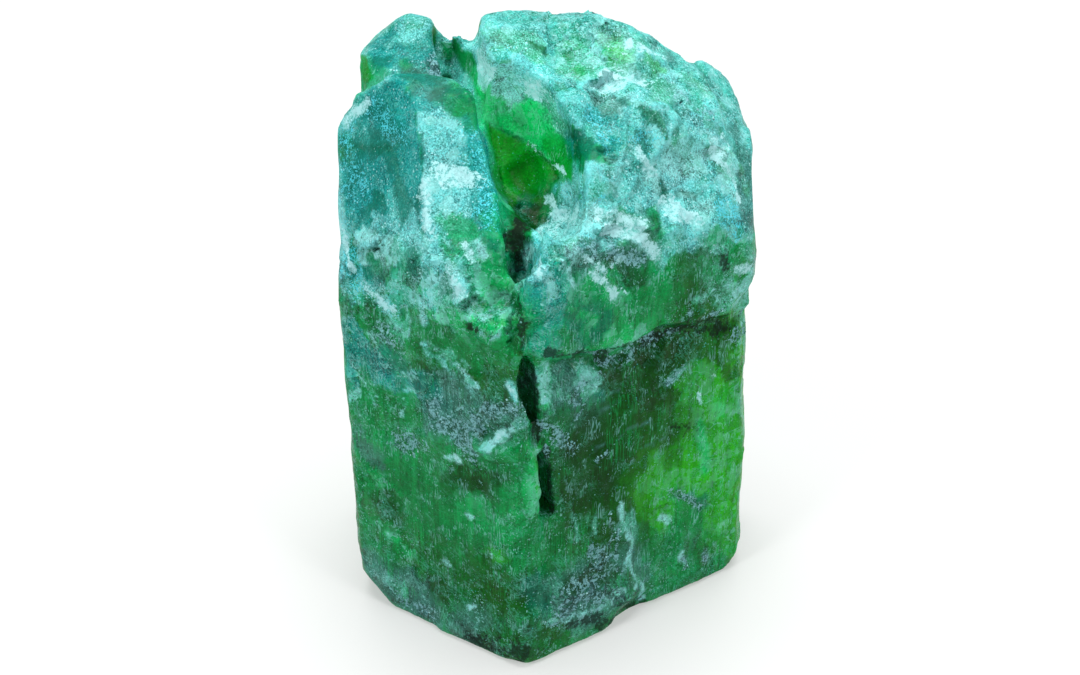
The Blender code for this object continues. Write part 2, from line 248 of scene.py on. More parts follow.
# Where each tone lies. A mark is a line that starts with how wide it spreads, and then has the places
# it runs through, in mm. Later tones lie over earlier ones.
marks = {
    "aqua": [
        (1.2, (-11.8, 6.6, 48.8), (-11.1, 4.8, 48)), (1, (-10.2, 5, 48.6), (-9.4, 7.7, 46.2)),
        (2.4, (-9, -4, 46), (-8, -6, 43.5), (-7.5, -8, 41)),
        (0.9, (-10.1, -2.4, 47.1), (-8.9, -3.6, 46.8)),
        (2, (-10.5, -8, 39), (-9, -10.5, 38), (-8.5, -11.5, 36)),
        (2.4, (-5.5, 2, 49.5), (-2.5, 2.5, 48.5), (0.5, 3, 47.5)), (2, (1, -2, 47), (3, -2.5, 46)),
        (2.2, (3, -8.5, 41.5), (6, -8, 40), (7.5, -7.5, 39)),
        (1.2, (0.5, -4.8, 38.6), (-0.1, -6.5, 37), (-0.9, -13.9, 38.2)),
        (1.8, (0.5, -7, 37), (3, -10.5, 39)), (2.4, (11, -1, 44), (13, -1.5, 41), (12, -3.5, 39)),
        (1.1, (12, 3.2, 45.2), (14.4, 4.2, 42.6), (15.5, 0.7, 40.4)),
        (1.8, (10, -6, 38), (13.5, -4.5, 36.5)), (2, (7, 3, 48), (9.5, 3.5, 46.5), (11, 1.5, 45)),
        (1.4, (-15.1, -1.7, 40.8), (-13, -3.7, 41.5)), (1.3, (-11.9, -5.7, 40.4), (-11.7, -7.3, 38.6)),
        (1.6, (-17, -2.5, 36), (-16, -5, 34)),
        (1.4, (-5.6, 4.1, 49.7), (-2.5, 5.8, 49.6), (-0.2, 5, 49.3)),
        (1.2, (12.9, 1.9, 44.4), (14.5, 2.4, 42.1), (15.6, 0.3, 39.5)),
        (1.2, (11.7, -4.4, 37.9), (14.3, -3.5, 36.5), (15.8, -2.8, 35.7)),
        (1.2, (11, -2.1, 41.6), (12.3, -2.5, 40.1)),
        (0.22, (-5.9, -13.5, 33.6), (-4.7, -13.2, 33.5), (-3.3, -13.5, 33.4)),
        (0.22, (-5.7, -13.8, 33.1), (-4.5, -13.8, 33.2), (-3.1, -14.1, 33.1)),
        (0.2, (-5.6, -14.2, 32.7), (-4.4, -14.2, 32.9), (-3.3, -14.4, 32.7)),
        (0.2, (-12.3, -8.8, 24.9), (-11.1, -10, 25.9), (-9.9, -10.9, 26.3)),
        (0.2, (-12.2, -8.8, 24.1), (-11.1, -10, 25), (-10.1, -10.7, 25.4)),
        (0.2, (-11.9, -9, 23.5), (-11, -9.8, 24), (-10, -10.8, 24.6)),
        (0.5, (-10.1, -10.6, 36.3), (-9.3, -11.1, 34.1), (-9.2, -11.5, 32.6)),
        (1.3, (11.1, 2, 45.4), (12.3, 1.5, 44.6)), (1.3, (3.8, -1.8, 45.8), (6.9, -3.3, 45.5)),
        (1.1, (-15.2, -7.1, 31.2), (-13.2, -8.1, 31)), (1, (-14.4, -5.8, 35.4), (-13.1, -7.3, 35.9)),
        (0.9, (-5.9, -6.8, 42.4), (-5.7, -8, 40.6)),
        (0.5, (-0.4, -13, 39.9), (0, -14.5, 37.8), (0, -14.8, 35.8)),
        (1.3, (-15, -7.1, 31.2), (-12.9, -8.3, 31.4), (-11.5, -9.5, 33.2)),
        (1.3, (-14.7, -7.1, 32.1), (-12.6, -8.7, 33.2), (-11.1, -9.9, 33.6)),
        (1.3, (-10.1, -10.7, 34.4), (-9.7, -10.9, 33.5)), (0.9, (1.1, -1.9, 47), (3, -2.1, 46.6)),
        (1.1, (1.3, -5.4, 38.9), (2.1, -7.3, 39.5)), (0.9, (5.5, 4.3, 49.1), (6.7, 3.2, 48.3)),
        (1.1, (-5.3, 2.9, 49.8), (-4.5, 1.9, 49.2)), (1.2, (-11.7, -7.1, 38.9), (-11, -8.1, 38.4)),
        (1, (9.4, -5.7, 38.7)),
    ],
    "white": [
        (0.55, (-9.7, -7.6, 41.8), (-9.4, -8.8, 40.3), (-9.6, -9.7, 38.8)),
        (0.85, (-6.2, 4.9, 47.4), (-5.3, 2.3, 46.8), (-4.8, 0.9, 46.3)),
        (0.8, (-1.8, 0.6, 45.4), (-0.6, -0.6, 45.8)),
        (1.1, (4.3, -0.2, 46.4), (5.7, 0.5, 46.6), (7.2, 0.5, 46.1)),
        (0.6, (6.6, 3.4, 48.4), (6.2, 2.4, 48)), (0.7, (7.5, 3, 47.9), (8.9, 4.1, 47.1)),
        (0.9, (-0.4, -6.5, 36.9), (1.1, -7.4, 37.5)),
        (0.6, (4.2, -9.9, 38.9), (6.6, -9, 37.7), (8.1, -8.5, 35.7)),
        (0.8, (9.4, -6.3, 38.3), (11.7, -5.3, 37.1)), (0.9, (13.2, -1.1, 41.6), (12.9, -2.2, 40.1)),
        (0.5, (14.9, -4.4, 31.9), (15.8, -3.8, 31.8)), (0.5, (-0.9, -13.9, 38.2), (-0.9, -14.8, 37.6)),
        (1.2, (-12, 7, 49), (-11.2, 5.6, 48.5)), (0.5, (-0.3, -3.5, 38.2), (0.1, -4.5, 37.9)),
        (0.5, (-14.5, -7.3, 31.9), (-12.6, -8.6, 30.8)), (0.8, (6.8, -5.6, 42.5), (7.8, -5.2, 41.4)),
        (0.6, (3.7, -9.2, 39.7), (6.8, -8.3, 38.4)),
        (0.22, (-1.9, -0.2, 41.4), (-0.5, -1.6, 40.7), (1, -4, 40.4)),
        (0.5, (-7.9, -11.4, 36.4), (-7.3, -12, 35.3), (-6.8, -12.5, 34.4)),
        (0.4, (-6.5, -10.5, 37.8), (-5.9, -11.2, 37)), (0.3, (-9.3, -9.2, 39.6), (-9.2, -10.3, 38.1)),
        (0.5, (-14.7, -7.1, 32), (-13.2, -8.1, 31)), (0.3, (-3.5, -14.9, 27.9), (-2.9, -15.4, 27)),
        (0.2, (-5.1, -14.7, 22.4), (-3.7, -14.8, 23.4)), (0.3, (-7.8, -12.6, 19.3), (-7.5, -12.7, 19.2)),
        (0.25, (-4.9, -15, 21.2), (-4.7, -14.9, 20.9)),
        (1, (-9.3, -7.8, 41.7), (-8.1, -7.3, 41.8), (-6.8, -7.2, 42)),
        (0.7, (-8.5, -7.2, 42.2), (-8.1, -6.8, 42.4)),
        (0.25, (13.1, -2.1, 40), (13.8, -2.6, 38.3), (14.3, -3.4, 36.6)),
        (0.25, (13.6, -1.8, 40.2), (14.5, -1.6, 38.7), (15, -2.1, 37.2)),
        (0.5, (2.1, -12.1, 38.2), (3.7, -11.6, 36.2), (5.4, -10.1, 36.4)),
        (0.6, (3.4, -11.9, 35.5), (4.8, -11.3, 34)), (0.18, (12.4, -5.3, 20.8), (12.6, -5.3, 20.2)),
        (0.15, (13.4, -4.6, 22.3), (14.4, -4, 21.4)),
        (0.14, (0.6, -14.1, 37.4), (1.4, -13.4, 37.9), (2.3, -12.1, 37.7)),
        (0.14, (2.8, -12.3, 36), (4, -11.8, 34.5), (4.7, -11.5, 34)),
        (0.12, (3.4, -11.8, 36.3), (5, -11, 34.6), (6.4, -10.2, 33.2)),
        (0.14, (14.6, -4.7, 32), (16, -3.7, 31.8)), (0.7, (0.4, -5.2, 37.8), (1.8, -7.7, 38.5)),
        (0.6, (-16.4, 0.9, 42.9), (-15.5, 0.4, 43.9), (-14.6, -0.3, 44.6)),
        (0.35, (-16.9, -2.8, 35), (-16.4, -4.4, 33.9), (-15.9, -5.7, 32.9)),
    ],
    # some ice marks on the right of the top lighten faces turned from the lamps: painted light there
    "ice": [
        (0.5, (-17.1, -1.3, 37.6), (-16.6, -3.7, 34.3), (-16.7, -5.4, 31.7)),
        (1.2, (2.8, -8.5, 41.8), (3.7, -8.7, 41)), (1.2, (7.2, -6.6, 40.3), (8.5, -5.9, 39.3)),
        (1.4, (8.8, -4.6, 40.6), (10.1, -4.1, 39.5)), (1.2, (12.4, 2.5, 44.9), (13.2, 1.8, 44.1)),
        (1.4, (13.6, -2.5, 38.6), (14.8, -2.2, 37.2)), (1.4, (14.1, -1.6, 39.8), (15.2, -1.1, 38.6)),
        (1.2, (-13.9, -5.6, 36.5), (-12.1, -7.4, 37.5)), (1.4, (-0.9, 1.4, 47.8), (0.4, 1.8, 47)),
        (1.2, (-4, 0.5, 48.1), (-2.4, 0.6, 47.2)), (1.4, (8, -3.8, 44.2), (9.1, -3.5, 42.3)),
        (0.7, (-9.3, -9.1, 39.8), (-9.2, -10.7, 37.4)), (0.9, (-11, -8.9, 37.4), (-8.8, -11.3, 36.5)),
        (0.3, (-10, -10.6, 32.7), (-10, -10.8, 31)), (0.5, (-3.3, -15, 27.8), (-2.9, -15.4, 26.8)),
        (0.6, (6.4, 3.7, 48.6), (6.7, 2.2, 47.9)), (0.6, (7.6, 3.4, 47.9), (8.9, 4.1, 47.1)),
        (1.2, (11.1, -0.1, 44.3), (12.1, -1.3, 43.1)), (1.2, (9.1, -6.5, 38.5), (11.7, -5, 37.3)),
        (1, (8.5, -5.8, 39.5), (9.1, -6, 38.7)), (1, (6.9, -2, 46), (7.6, -2.8, 45.6)),
        (0.9, (1.2, -5.4, 38.4), (2.9, -9, 40.5)), (0.6, (0.7, -3.8, 39.9), (0.9, -5.1, 38.7)),
        (0.7, (-1, -12.8, 37.6), (-0.9, -14.9, 37.6)), (0.5, (16.1, -1.7, 26.8), (16.1, -1.4, 25.2)),
        (0.2, (-10.3, -10.7, 28.9), (-9.3, -11.1, 28.5), (-8.3, -11.6, 28.2), (-7, -12.5, 27.5),
         (-5.9, -13.4, 26.9)),
        (0.18, (-10, -10.9, 28.5), (-8.7, -11.5, 27.8), (-7.5, -12.3, 26.8), (-6.3, -13.2, 26.3)),
        (0.5, (-8.2, -11.2, 36.7), (-7.1, -11.8, 35.7), (-6.7, -12.3, 34.8)),
        (1.3, (8.8, -4.9, 40.4), (10.2, -3.2, 40.2), (11, -3.4, 39.6)),
        (1.3, (11.6, -0.5, 44.1), (12.1, -1.5, 42.9), (12.3, -1.5, 41.3)),
        (1.3, (13.6, -2.5, 38.6), (14.8, -2, 37.5), (15.1, -2.8, 36.3)),
        (1.2, (14.3, -1.4, 40), (15.2, -1.1, 38.6)),
        (0.5, (13.2, -1, 41.8), (13, -2.1, 40), (12.8, -2.8, 38.9)),
        (1.2, (2.1, -6.5, 40.5), (3.4, -8.5, 41.4), (4.2, -8.1, 41.7)),
        (0.7, (13.1, 4.6, 44.3), (14.6, 4.5, 42.5), (15.7, 2.7, 41.2)),
        (1.2, (9.4, -6.4, 38.2), (11.7, -5.4, 36.9), (13.4, -4.7, 36.2)),
        (1.3, (7.7, 2.2, 47.2), (9, 2.7, 46), (10, 2.1, 45.2)), (1.1, (-4, 0.5, 48.1), (-3.1, 1.3, 45.7)),
        (1.2, (8.8, -8.3, 35.2), (9.9, -7.5, 35.8), (10.9, -6.6, 36)),
        (1.1, (14, -0.1, 42.2), (13.4, -1.1, 41.5)), (1.3, (3.2, -8.4, 41.7), (4.2, -8.3, 41.3)),
        (1.2, (-10.7, -8.1, 39.1), (-9.6, -9.3, 39.4)),
        (0.15, (14.4, -4, 17.9), (15.1, -3.4, 17.7), (15.9, -2.9, 17.2)),
        (1.3, (-4, 0.6, 47.6), (-3.4, 1.5, 45.7)), (1, (-14.4, -5.9, 35.3), (-13.1, -7.4, 35.7)),
        (1, (1.8, -6, 39.1), (2.2, -7.5, 40.3)), (0.8, (-1.8, -9.5, 36.4), (-1.3, -10.8, 36.4)),
        (1, (-13.9, -6, 35.8), (-13.2, -7.3, 35.5)), (1.2, (10.3, -2.9, 41.8), (11, -2.6, 40.3)),
    ],
    # cyan glitter; the marks along the left edge also paint the light that rims that edge
    "cyan": [
        (1.3, (-13.9, -0.8, 44.6), (-13, -2.3, 44.1), (-11.9, -3.8, 44)),
        (1.2, (-5.9, -5.4, 44.1), (-5.2, -7.2, 41.6), (-4.7, -9.2, 39.6)),
        (1.3, (-16.5, -3, 35.8), (-16, -5.4, 33)), (1, (14.1, -3.3, 37.1), (14.9, -3.7, 35.5)),
        (1, (1, -4.8, 39.4), (3.7, -8.9, 40.3)), (1, (-1.5, -10, 37.9), (-0.5, -14.4, 38.5)),
        (1.2, (-16, -1.1, 40.2), (-15.2, -3.4, 37.8)), (0.6, (-13.5, 5.7, 47.2), (-12.2, 4, 47.6)),
        (1.1, (-14.5, -7.4, 31.7), (-13.2, -8.1, 31.2), (-12.2, -8.8, 30.6)),
        (1.2, (-16.4, -3.6, 35.1), (-16, -5.3, 33.3), (-15, -7, 31.7)),
        (1.2, (-16.6, -3.1, 35.4), (-16, -5.6, 32.7)), (0.8, (-4, 1.6, 49), (-3.1, 0.9, 48.6)),
        (1, (6.8, -4.6, 44.5), (8, -4.1, 43.5)), (1, (-15.2, -6.7, 32.2), (-12.9, -8.3, 30.6)),
        (0.8, (3, -3.7, 45.1), (4.2, -5.7, 44.2)), (0.4, (14.3, -3.4, 36.6), (14.8, -3.4, 35.9)),
        (0.9, (-16.8, -2.8, 35.6), (-16.4, -4.4, 33.9)), (0.9, (-14.8, -7, 31.9), (-13.2, -8.1, 31)),
        (1, (-16.6, 0.8, 42.5), (-17.1, 0.3, 39.5), (-17.1, -1.7, 37)),
    ],
    "teal": [
        (3.4, (-14, -0.5, 45), (-13, -3, 42), (-14, -4, 38.5)),
        (1.2, (-12.1, -0.5, 47.2), (-11.1, -1.5, 47.2)), (1.3, (-14.1, 4.8, 47), (-12.2, 3, 46.9)),
        (1.4, (-5.6, -2, 43.3), (-4.6, -6.8, 41.4), (-4.1, -9.5, 38.9)),
        (1.6, (-1.5, -9.5, 37), (-0.5, -15, 37), (0.5, -14.5, 33.5)),
        (1.4, (-12.3, -8.8, 25.1), (-10.1, -10.7, 24.4)),
        (1.3, (1.2, -3.1, 43.4), (1.8, -5, 42.4), (4.2, -7.1, 43.1)),
        (1.3, (-16.5, -6.6, 27.7), (-16.3, -6.4, 22.7)), (1.2, (-13, -6.9, 36.6), (-12.1, -8.7, 35.2)),
        (1.2, (-12.2, -8.8, 24.1), (-10.3, -10.6, 24.9)), (1.2, (-15.2, -7.4, 27.2), (-14.2, -7.7, 24.4)),
        (0.9, (3.7, -6.2, 43.8), (4.9, -6.6, 43.3)),
        (1.3, (-16, -6.9, 27.9), (-14.9, -7.5, 26.3), (-13.8, -8.1, 24.6)),
        (1, (-10.9, -3, 47), (-9.5, -3, 47), (-8.1, -3, 47)), (1.3, (-12, 3.1, 46.8), (-11.1, 2.8, 46.6)),
        (1.3, (3.8, -3.5, 45.2), (5.2, -3.4, 45.5)),
        (1, (-6.1, -5.9, 43.5), (-5.8, -7.1, 41.9), (-5.6, -8, 40.6)),
        (1.2, (-15.5, -6, 33.1), (-14.3, -6.9, 32.9)), (1.3, (-12, 3.4, 47), (-11.4, -1.8, 47.2)),
    ],
    "bright": [
        (2.2, (-5, 1, 44), (-3, 1, 43), (-1, -0.5, 43)), (1.1, (4.1, -11.8, 30.2), (6, -10.4, 29.1)),
        (1, (-5, 0.7, 43.7), (-3.9, 1.2, 42.7)),
        (1, (-1.5, -14.8, 21.5), (-1.2, -15.2, 19), (-1, -14.9, 16.4)),
        (0.7, (-0.6, -13.7, 28.9), (-0.5, -14.1, 25.9)), (0.9, (0.6, -14.6, 34.4), (2.2, -13, 32.5)),
        (0.9, (3.9, 2.3, 48), (5.3, 1.7, 47.6)), (1.2, (14.5, -4, 19.2), (15.2, -3.4, 16.2)),
        (1, (-13.5, -8.5, 8.3), (-11.9, -9.4, 7.4)), (1, (-9.2, -11.5, 32.2), (-6.8, -13.4, 33)),
        (0.7, (-5.4, -14.2, 32.8), (-3.3, -14.2, 32.9)), (0.6, (12.6, -5.4, 18), (13.2, -4.9, 12.5)),
        (1.2, (-9.5, -11.1, 32.3), (-7.1, -13.1, 32.8)),
        (0.8, (-3.9, -9.8, 38.5), (-3.6, -11.1, 36.6), (-3.5, -12, 34.7)),
    ],
    "emerald": [
        (1.8, (-3, 0, 41.5), (-0.5, -1.5, 41.5)), (0.9, (-8.3, 7.7, 45.9), (-7.7, 6.7, 45.2)),
        (1.6, (-15, 5.5, 46), (-15, 3.5, 45)), (3.2, (3, -12.5, 34), (5.5, -11, 32), (7.5, -9, 33)),
        (1.6, (4, -12, 30.5), (6, -10.5, 29.5)), (1.5, (7.5, -8.5, 38), (8, -8.5, 36)),
        (0.7, (13.6, -1.6, 40.5), (14.1, -1.7, 38.9)), (1.6, (-6.5, -13, 15), (-3.5, -15, 15)),
        (1.3, (-3.7, -7.7, 38.8), (-3.5, -10.4, 37.2), (-3.5, -11.9, 35)),
        (1.8, (5, -11.5, 33.5), (7.5, -9.5, 32)), (0.5, (1.4, 3, 47), (2, 0.4, 47)),
        (0.9, (-8.6, 7.8, 45.8), (-8.1, 7.1, 45.1)), (2.6, (-6, -12, 35), (-4.5, -12.5, 34)),
        (1.2, (-4.5, -9.6, 39.2), (-4.1, -11.1, 36.7), (-3.9, -12.4, 34)),
        (0.8, (-5.4, -11.5, 35.9), (-5.1, -12.9, 33.8)), (0.8, (-8, -9.4, 39.3), (-6.8, -9.9, 38.4)),
        (0.5, (-11.7, 3.2, 46.8), (-11.4, 2.9, 46.6)), (0.9, (7.8, -7.3, 38.7), (7.9, -8.5, 36.9)),
        (1.3, (13.1, -5, 35.5), (15.2, -4, 34)), (1.2, (2.1, -5.4, 42.6), (4.2, -7.2, 43)),
        (1.2, (1.5, -13.6, 34.7), (1.9, -13.1, 31.7)),
        (1.2, (-7.4, -12.7, 31.7), (-4.7, -14.6, 32.6), (-2.7, -14.8, 33)),
        (0.8, (0.5, -3.1, 40.6), (0.7, -3.8, 39.9)), (1.2, (3.8, -12, 31.8), (7, -9.8, 30.6)),
        (1.1, (-7.2, -1.7, 47.1), (-6.6, -3.5, 46.7), (-6.2, -3.8, 46.2)),
        (0.8, (-3.9, -4.6, 38.7), (-3.5, -7.4, 38.9)), (1.3, (2.2, -13, 33.5), (3.3, -12.3, 32.3)),
        (1.2, (2.4, -12.8, 31.5), (4.3, -11.7, 30.5)), (1.3, (-15, -7.3, 14.2), (-14.2, -8, 12.7)),
        (1.3, (-13.5, -8.5, 8.4), (-12.5, -9.1, 7.4)), (1.2, (4, -11.9, 33.7), (5.5, -10.7, 32.6)),
        (1.3, (6.9, -9.9, 32.9), (8.9, -8.4, 32.9)), (0.5, (1.7, 2.1, 46.9), (2.4, 0.5, 47)),
        (0.4, (4.8, 3.6, 48.8), (5.8, 3.1, 48.4)), (0.6, (-6.2, -9.4, 38.8), (-5.6, -10.1, 38.3)),
        (0.5, (-8.3, -10.6, 37.7), (-7.6, -10.9, 37.2)), (1.2, (15, -4.3, 30.7), (15.9, -3.6, 29.5)),
        (1.3, (5, -11.1, 31.8), (7.3, -9.7, 31.4)), (1.1, (-5.1, -10.2, 38.2), (-4.5, -10.8, 37.5)),
        (0.5, (5.6, 3.6, 48.7)), (0.8, (-5.6, -10.7, 37.4)),
    ],
    "olive": [
        (4.2, (7, -9, 22.5), (7.5, -9, 17.5), (6, -10, 13)), (1.6, (10, -8, 33.5), (12, -6.5, 33.5)),
        (1.6, (10, -7.5, 31), (13, -5.5, 30.5)), (0.8, (7, 5, 48.8), (7.8, 5.2, 48.1)),
        (0.45, (-2.1, 3.1, 49), (-0.2, 2.8, 47.5)), (0.45, (11.4, 3.1, 45.5), (12.5, 1.8, 44.6)),
        (0.7, (7.2, -2.9, 45.6), (8.1, -3.3, 45)), (2, (-4, -15, 2), (-0.5, -15, 2.5)),
        (2.2, (-6, -13.5, 8.5), (-4, -14.5, 6.5)), (1.6, (-12, -9.5, 8.5), (-9.5, -11, 7.5)),
        (1.2, (-2.7, -15, 31.6), (-2.4, -12.4, 27.6)),
        (1.5, (-9.5, -11, 27), (-7, -12.5, 26.5), (-4, -15, 27)),
        (1.4, (-5.1, -14, 26.6), (-2.8, -15.4, 28.2)), (0.45, (-6.4, -13.8, 32.5), (-5.9, -14, 32.4)),
        (0.5, (7, 5, 48.8), (8.1, 5.6, 48)), (0.35, (11.4, 3.1, 45.5), (12.4, 1.8, 44.7)),
        (0.5, (7, -2.9, 45.6), (7.8, -3.5, 45)), (0.5, (8.4, -3.1, 44.9), (8.9, -3.5, 43.5)),
        (0.9, (11.8, -6.3, 34.8), (13.2, -5.4, 33.4)), (1.3, (9.7, -7.2, 21.3), (9.8, -6.9, 17.1)),
        (1.3, (-5.1, -14.4, 1.8), (-1.7, -15.7, 2.3)), (1.3, (12.3, -5.1, 24.6), (15.6, -3, 21.9)),
        (1.3, (7.3, -9, 19.6), (7.1, -9.1, 15.6)),
    ],
    # glow: a bright yellow-green painted where light shines through the stone
    "glow": [
        (3.2, (14.5, -4, 23), (14.5, -4, 18), (14, -4.5, 14)),
        (2.6, (13, -5, 11.5), (15.5, -3.5, 8.5), (16.5, -3, 5.5)), (1.6, (15, -3.5, 19), (15.5, -3, 16.5)),
        (0.7, (-1.2, -14.3, 21.3), (-0.9, -14.7, 17.7)), (0.6, (9.7, -7.1, 8.7), (10, -6.8, 8.3)),
        (1.2, (-5.1, -13.9, 11.2), (-4.3, -14.6, 10.9)), (0.9, (16, -1.2, 25.8), (16.3, -1.1, 25.1)),
        (1.2, (14.9, -4.3, 30.1), (16.1, -1.7, 27.6)), (0.8, (15.3, -3.8, 34.5), (15.6, -3.9, 32.5)),
        (1.6, (8, -8, 15), (9.5, -7, 11)), (0.35, (4.4, 3, 48.6), (5.6, 1.9, 47.9), (6.5, 1.5, 47.5)),
        (1.2, (13.2, -4.9, 20.2), (15.2, -3.4, 18.7), (16.1, -3, 15.4)),
    ],
    "lime": [
        (0.8, (3.9, 2.9, 48.4), (5.6, 1.9, 47.9)), (0.7, (8, 2.4, 46.8), (8.9, 2.6, 46.2)),
        (0.7, (2.8, 5.1, 48.9), (3.3, 4.7, 48.9)),
        (0.6, (3.9, 3.8, 48.8), (5.3, 2.4, 48.1), (6.4, 1.7, 47.6)),
        (0.6, (8, 2.5, 47.1), (8.3, 2.1, 46.3)), (0.6, (15.1, -0.9, 39.6), (15.7, -1.1, 37.6)),
        (0.5, (13.7, -1.4, 41.1), (14.6, -1, 40.6)), (1, (4.5, 2.8, 48.5), (6.6, 2.6, 48.1)),
        (0.8, (3.7, 3.4, 48.4), (5.1, 2.4, 48.2), (6.4, 1.5, 47.5)),
        (0.6, (7.7, 2.2, 47.2), (8.5, 2.4, 46.3)), (0.5, (2.5, 5.3, 49), (3.3, 4.9, 49)),
        (0.9, (5.1, 2.8, 48.3)), (0.9, (6.3, 2.5, 48.1)), (0.8, (-0.5, 1.5, 47.5)),
    ],
    "deep": [
        (1.4, (-2.3, -3.5, 37.4), (-2, -5.1, 37), (-2.4, -8.7, 37.2)),
        (0.45, (-15.7, -0.9, 41.4), (-14.1, -2.3, 41.9), (-12.6, -3.7, 42.4)),
        (3.4, (5, -10.5, 21.5), (4, -11, 18), (3, -11.5, 15.5)),
        (1.4, (7.2, -8.3, 25.9), (11.4, -5.7, 25.7), (14, -3.8, 25)),
        (0.8, (1.5, -3.9, 44.2), (2.2, -5.7, 42.5)), (1, (-3.1, -3.7, 37.6), (-2.6, -9, 36.5)),
        (0.6, (8.5, -5.1, 40.7), (8.8, -5.3, 39.7)),
        (0.5, (10.3, -4.4, 39.1), (11.1, -4.2, 38.6), (11.8, -3.6, 38.7)),
        (0.6, (7.8, -7.5, 38.5), (8, -8.1, 38.1)), (0.4, (9.8, -0.8, 44.3), (9.8, -2.8, 43.5)),
        (0.8, (-10.1, 2.5, 46.2), (-8.8, -1.2, 47.2)),
        (0.5, (2.6, -9.6, 40.1), (3.7, -9.3, 39.4), (5.4, -8.9, 39)),
        (1.4, (-7.8, -12.2, 15.8), (-5.7, -13.6, 17.9)), (1.2, (-14, -8.1, 11.8), (-13.2, -8.6, 10)),
        (1.2, (-9.4, -11.2, 4.5), (-7.7, -12.3, 4.3)), (0.8, (3.7, -11.5, 36.8), (6.9, -9.6, 34.8)),
        (0.6, (-5.4, -13.6, 22.8), (-4.3, -14.7, 23.7)),
        (0.35, (10.1, -4.7, 38.9), (10.9, -4.4, 38.5), (11.8, -3.5, 38.8)),
        (0.3, (10.1, -6.7, 37.2), (10.4, -6.6, 36.9)),
        (1.2, (-2.9, -3.5, 37.5), (-1.7, -3.4, 37.5), (-0.4, -3.7, 38)),
        (1.3, (4.9, -10.4, 25.4), (7.2, -8.6, 25), (9.2, -7.3, 24.5)),
        (1.3, (-3.1, -3.6, 37.6), (-0.9, -3.9, 37.6)),
        (0.7, (-2.7, -9.6, 34.5), (-2.5, -14.3, 34.3), (-2.3, -15, 31.6)),
        (1.3, (2.5, -12, 22.6), (3.8, -11.1, 18.9), (4.4, -10.9, 15.4)),
        (1.3, (4.3, -10.9, 26.8), (7.2, -8.3, 25.8), (9.5, -6.9, 25.8)),
        (1.2, (6.1, -9.7, 23), (8.1, -8.1, 22.7)),
        (1.3, (-3.1, -3, 37.8), (-1.7, -2.7, 38), (-0.2, -3.1, 38.6)),
        (1.3, (-2.9, -7.2, 38.5), (-1.3, -4.5, 37.2)), (1, (-5.4, -13.8, 17.2), (-4.7, -14.4, 16.1)),
        (0.9, (-2.2, -15.2, 9.3), (-1.4, -14.8, 7.3)),
        (1.3, (0.5, -14, 6.1), (3.4, -12.3, 5.4), (6.7, -10, 4.1)),
        (1.2, (4.2, -11.1, 7.7), (5.3, -10.4, 5.4), (6.3, -10.1, 3.6)), (1, (-1.6, -3.5, 37.5)),
    ],
    "grass": [
        (1.2, (-4.1, -0.2, 40.7), (-3.4, -3, 38)),
        (1.4, (-3.1, -0.3, 40.7), (-1.7, -1.2, 39.4), (-0.9, -2.5, 38.7)),
        (1.3, (-2.9, -1, 39.3), (-2.3, -2.6, 37.9)), (0.8, (-0.4, -2.8, 38.8), (0.1, -3.9, 38.8)),
        (0.8, (0.4, -2.9, 40.6), (0.9, -3.9, 40.1)), (1.3, (-2.9, -1.8, 38.5), (-1.3, -2.5, 38.3)),
        (1.2, (0.4, -2.5, 41.4), (0.7, -3.5, 40.4)), (1, (14.4, -4, 19.6), (15.4, -3.2, 18.4)),
        (1.3, (0.1, -1.9, 41.5), (0.4, -3, 40.5), (0.5, -3.9, 39.5)),
        (1.2, (1, -3.3, 41.7), (1.2, -4.4, 40.8)),
    ],
    "leaf": [
        (1.4, (-9.5, -11.1, 29.3), (-6.3, -13.2, 30.4), (-3.9, -15.1, 31.6)),
        (3, (-14.5, -8, 14.5), (-12, -9.5, 10.5), (-8.5, -12, 10.5)),
        (3, (-10, -11, 14), (-6, -13.5, 13.5), (-2.5, -15, 13)),
        (1.6, (-10.5, -10.5, 29.5), (-12, -9, 25.5), (-13, -8.5, 20)),
        (1, (-12.9, -7.8, 35.4), (-11.5, -9.3, 35.4)), (0.7, (-16, -4.3, 34.7), (-15.5, -5.3, 34.4)),
        (2, (-13, -8.5, 9), (-11, -10, 8.5)), (2, (12.5, -5.5, 3), (14.5, -4, 0.5)),
        (1.8, (-13.5, -7.5, 33.5), (-12, -9, 32)),
        (1.1, (-9.6, -11.1, 29.4), (-7.1, -12.4, 29.8), (-3.5, -15.1, 31.6)),
        (0.8, (-11.6, -9.5, 33.7), (-10.4, -10.5, 34.3)), (1.3, (6.9, -10, 32.5), (9.4, -8.2, 31.5)),
        (1.4, (12.1, -5.6, 7.7), (13.2, -5, 3.9)), (0.6, (-0.9, -12.4, 18), (-0.8, -12, 14.2)),
        (1.1, (-7.5, -3.3, 47), (-6.7, -3.8, 46.2), (-5.8, -4.5, 45.2)),
        (0.9, (-15.3, 5.7, 46.1), (-15.1, 3.6, 44.7)), (1, (15, -4.4, 31.1), (15.8, -3.8, 29.6)),
        (0.8, (-0.9, -3.1, 38), (-0.2, -4.4, 37.7)), (1, (12.3, -6.1, 33), (13.9, -5.1, 31.9)),
        (1.3, (-4.4, -14.6, 15.8), (-3.5, -15, 14.1)), (0.6, (5.4, -8.5, 39.5), (6.4, -8.3, 38.9)),
        (1.2, (-0.7, -2.8, 38.4), (-0.2, -4.3, 37.8)), (1.2, (-7.8, -2.1, 47.1), (-6.9, -3.5, 46.7)),
        (1.2, (14.8, -4.4, 33.3), (15.7, -3.8, 32.4)), (1.2, (-0.2, -3, 38.9), (0, -4.2, 38.1)),
        (1.2, (-16.4, 0.1, 41.8), (-16.2, -0.8, 40.4)), (1, (5.4, -10.8, 31), (7, -9.9, 30.8)),
        (1.1, (1.1, -13.7, 31.2), (2.1, -12.9, 30)), (1.1, (-12.7, -7.8, 35.8), (-12.2, -8.7, 34.8)),
    ],
    # near-black: grime along the crust bands and the foot, and painted shade down the front crack and in
    # the valley's slit
    "grime": [
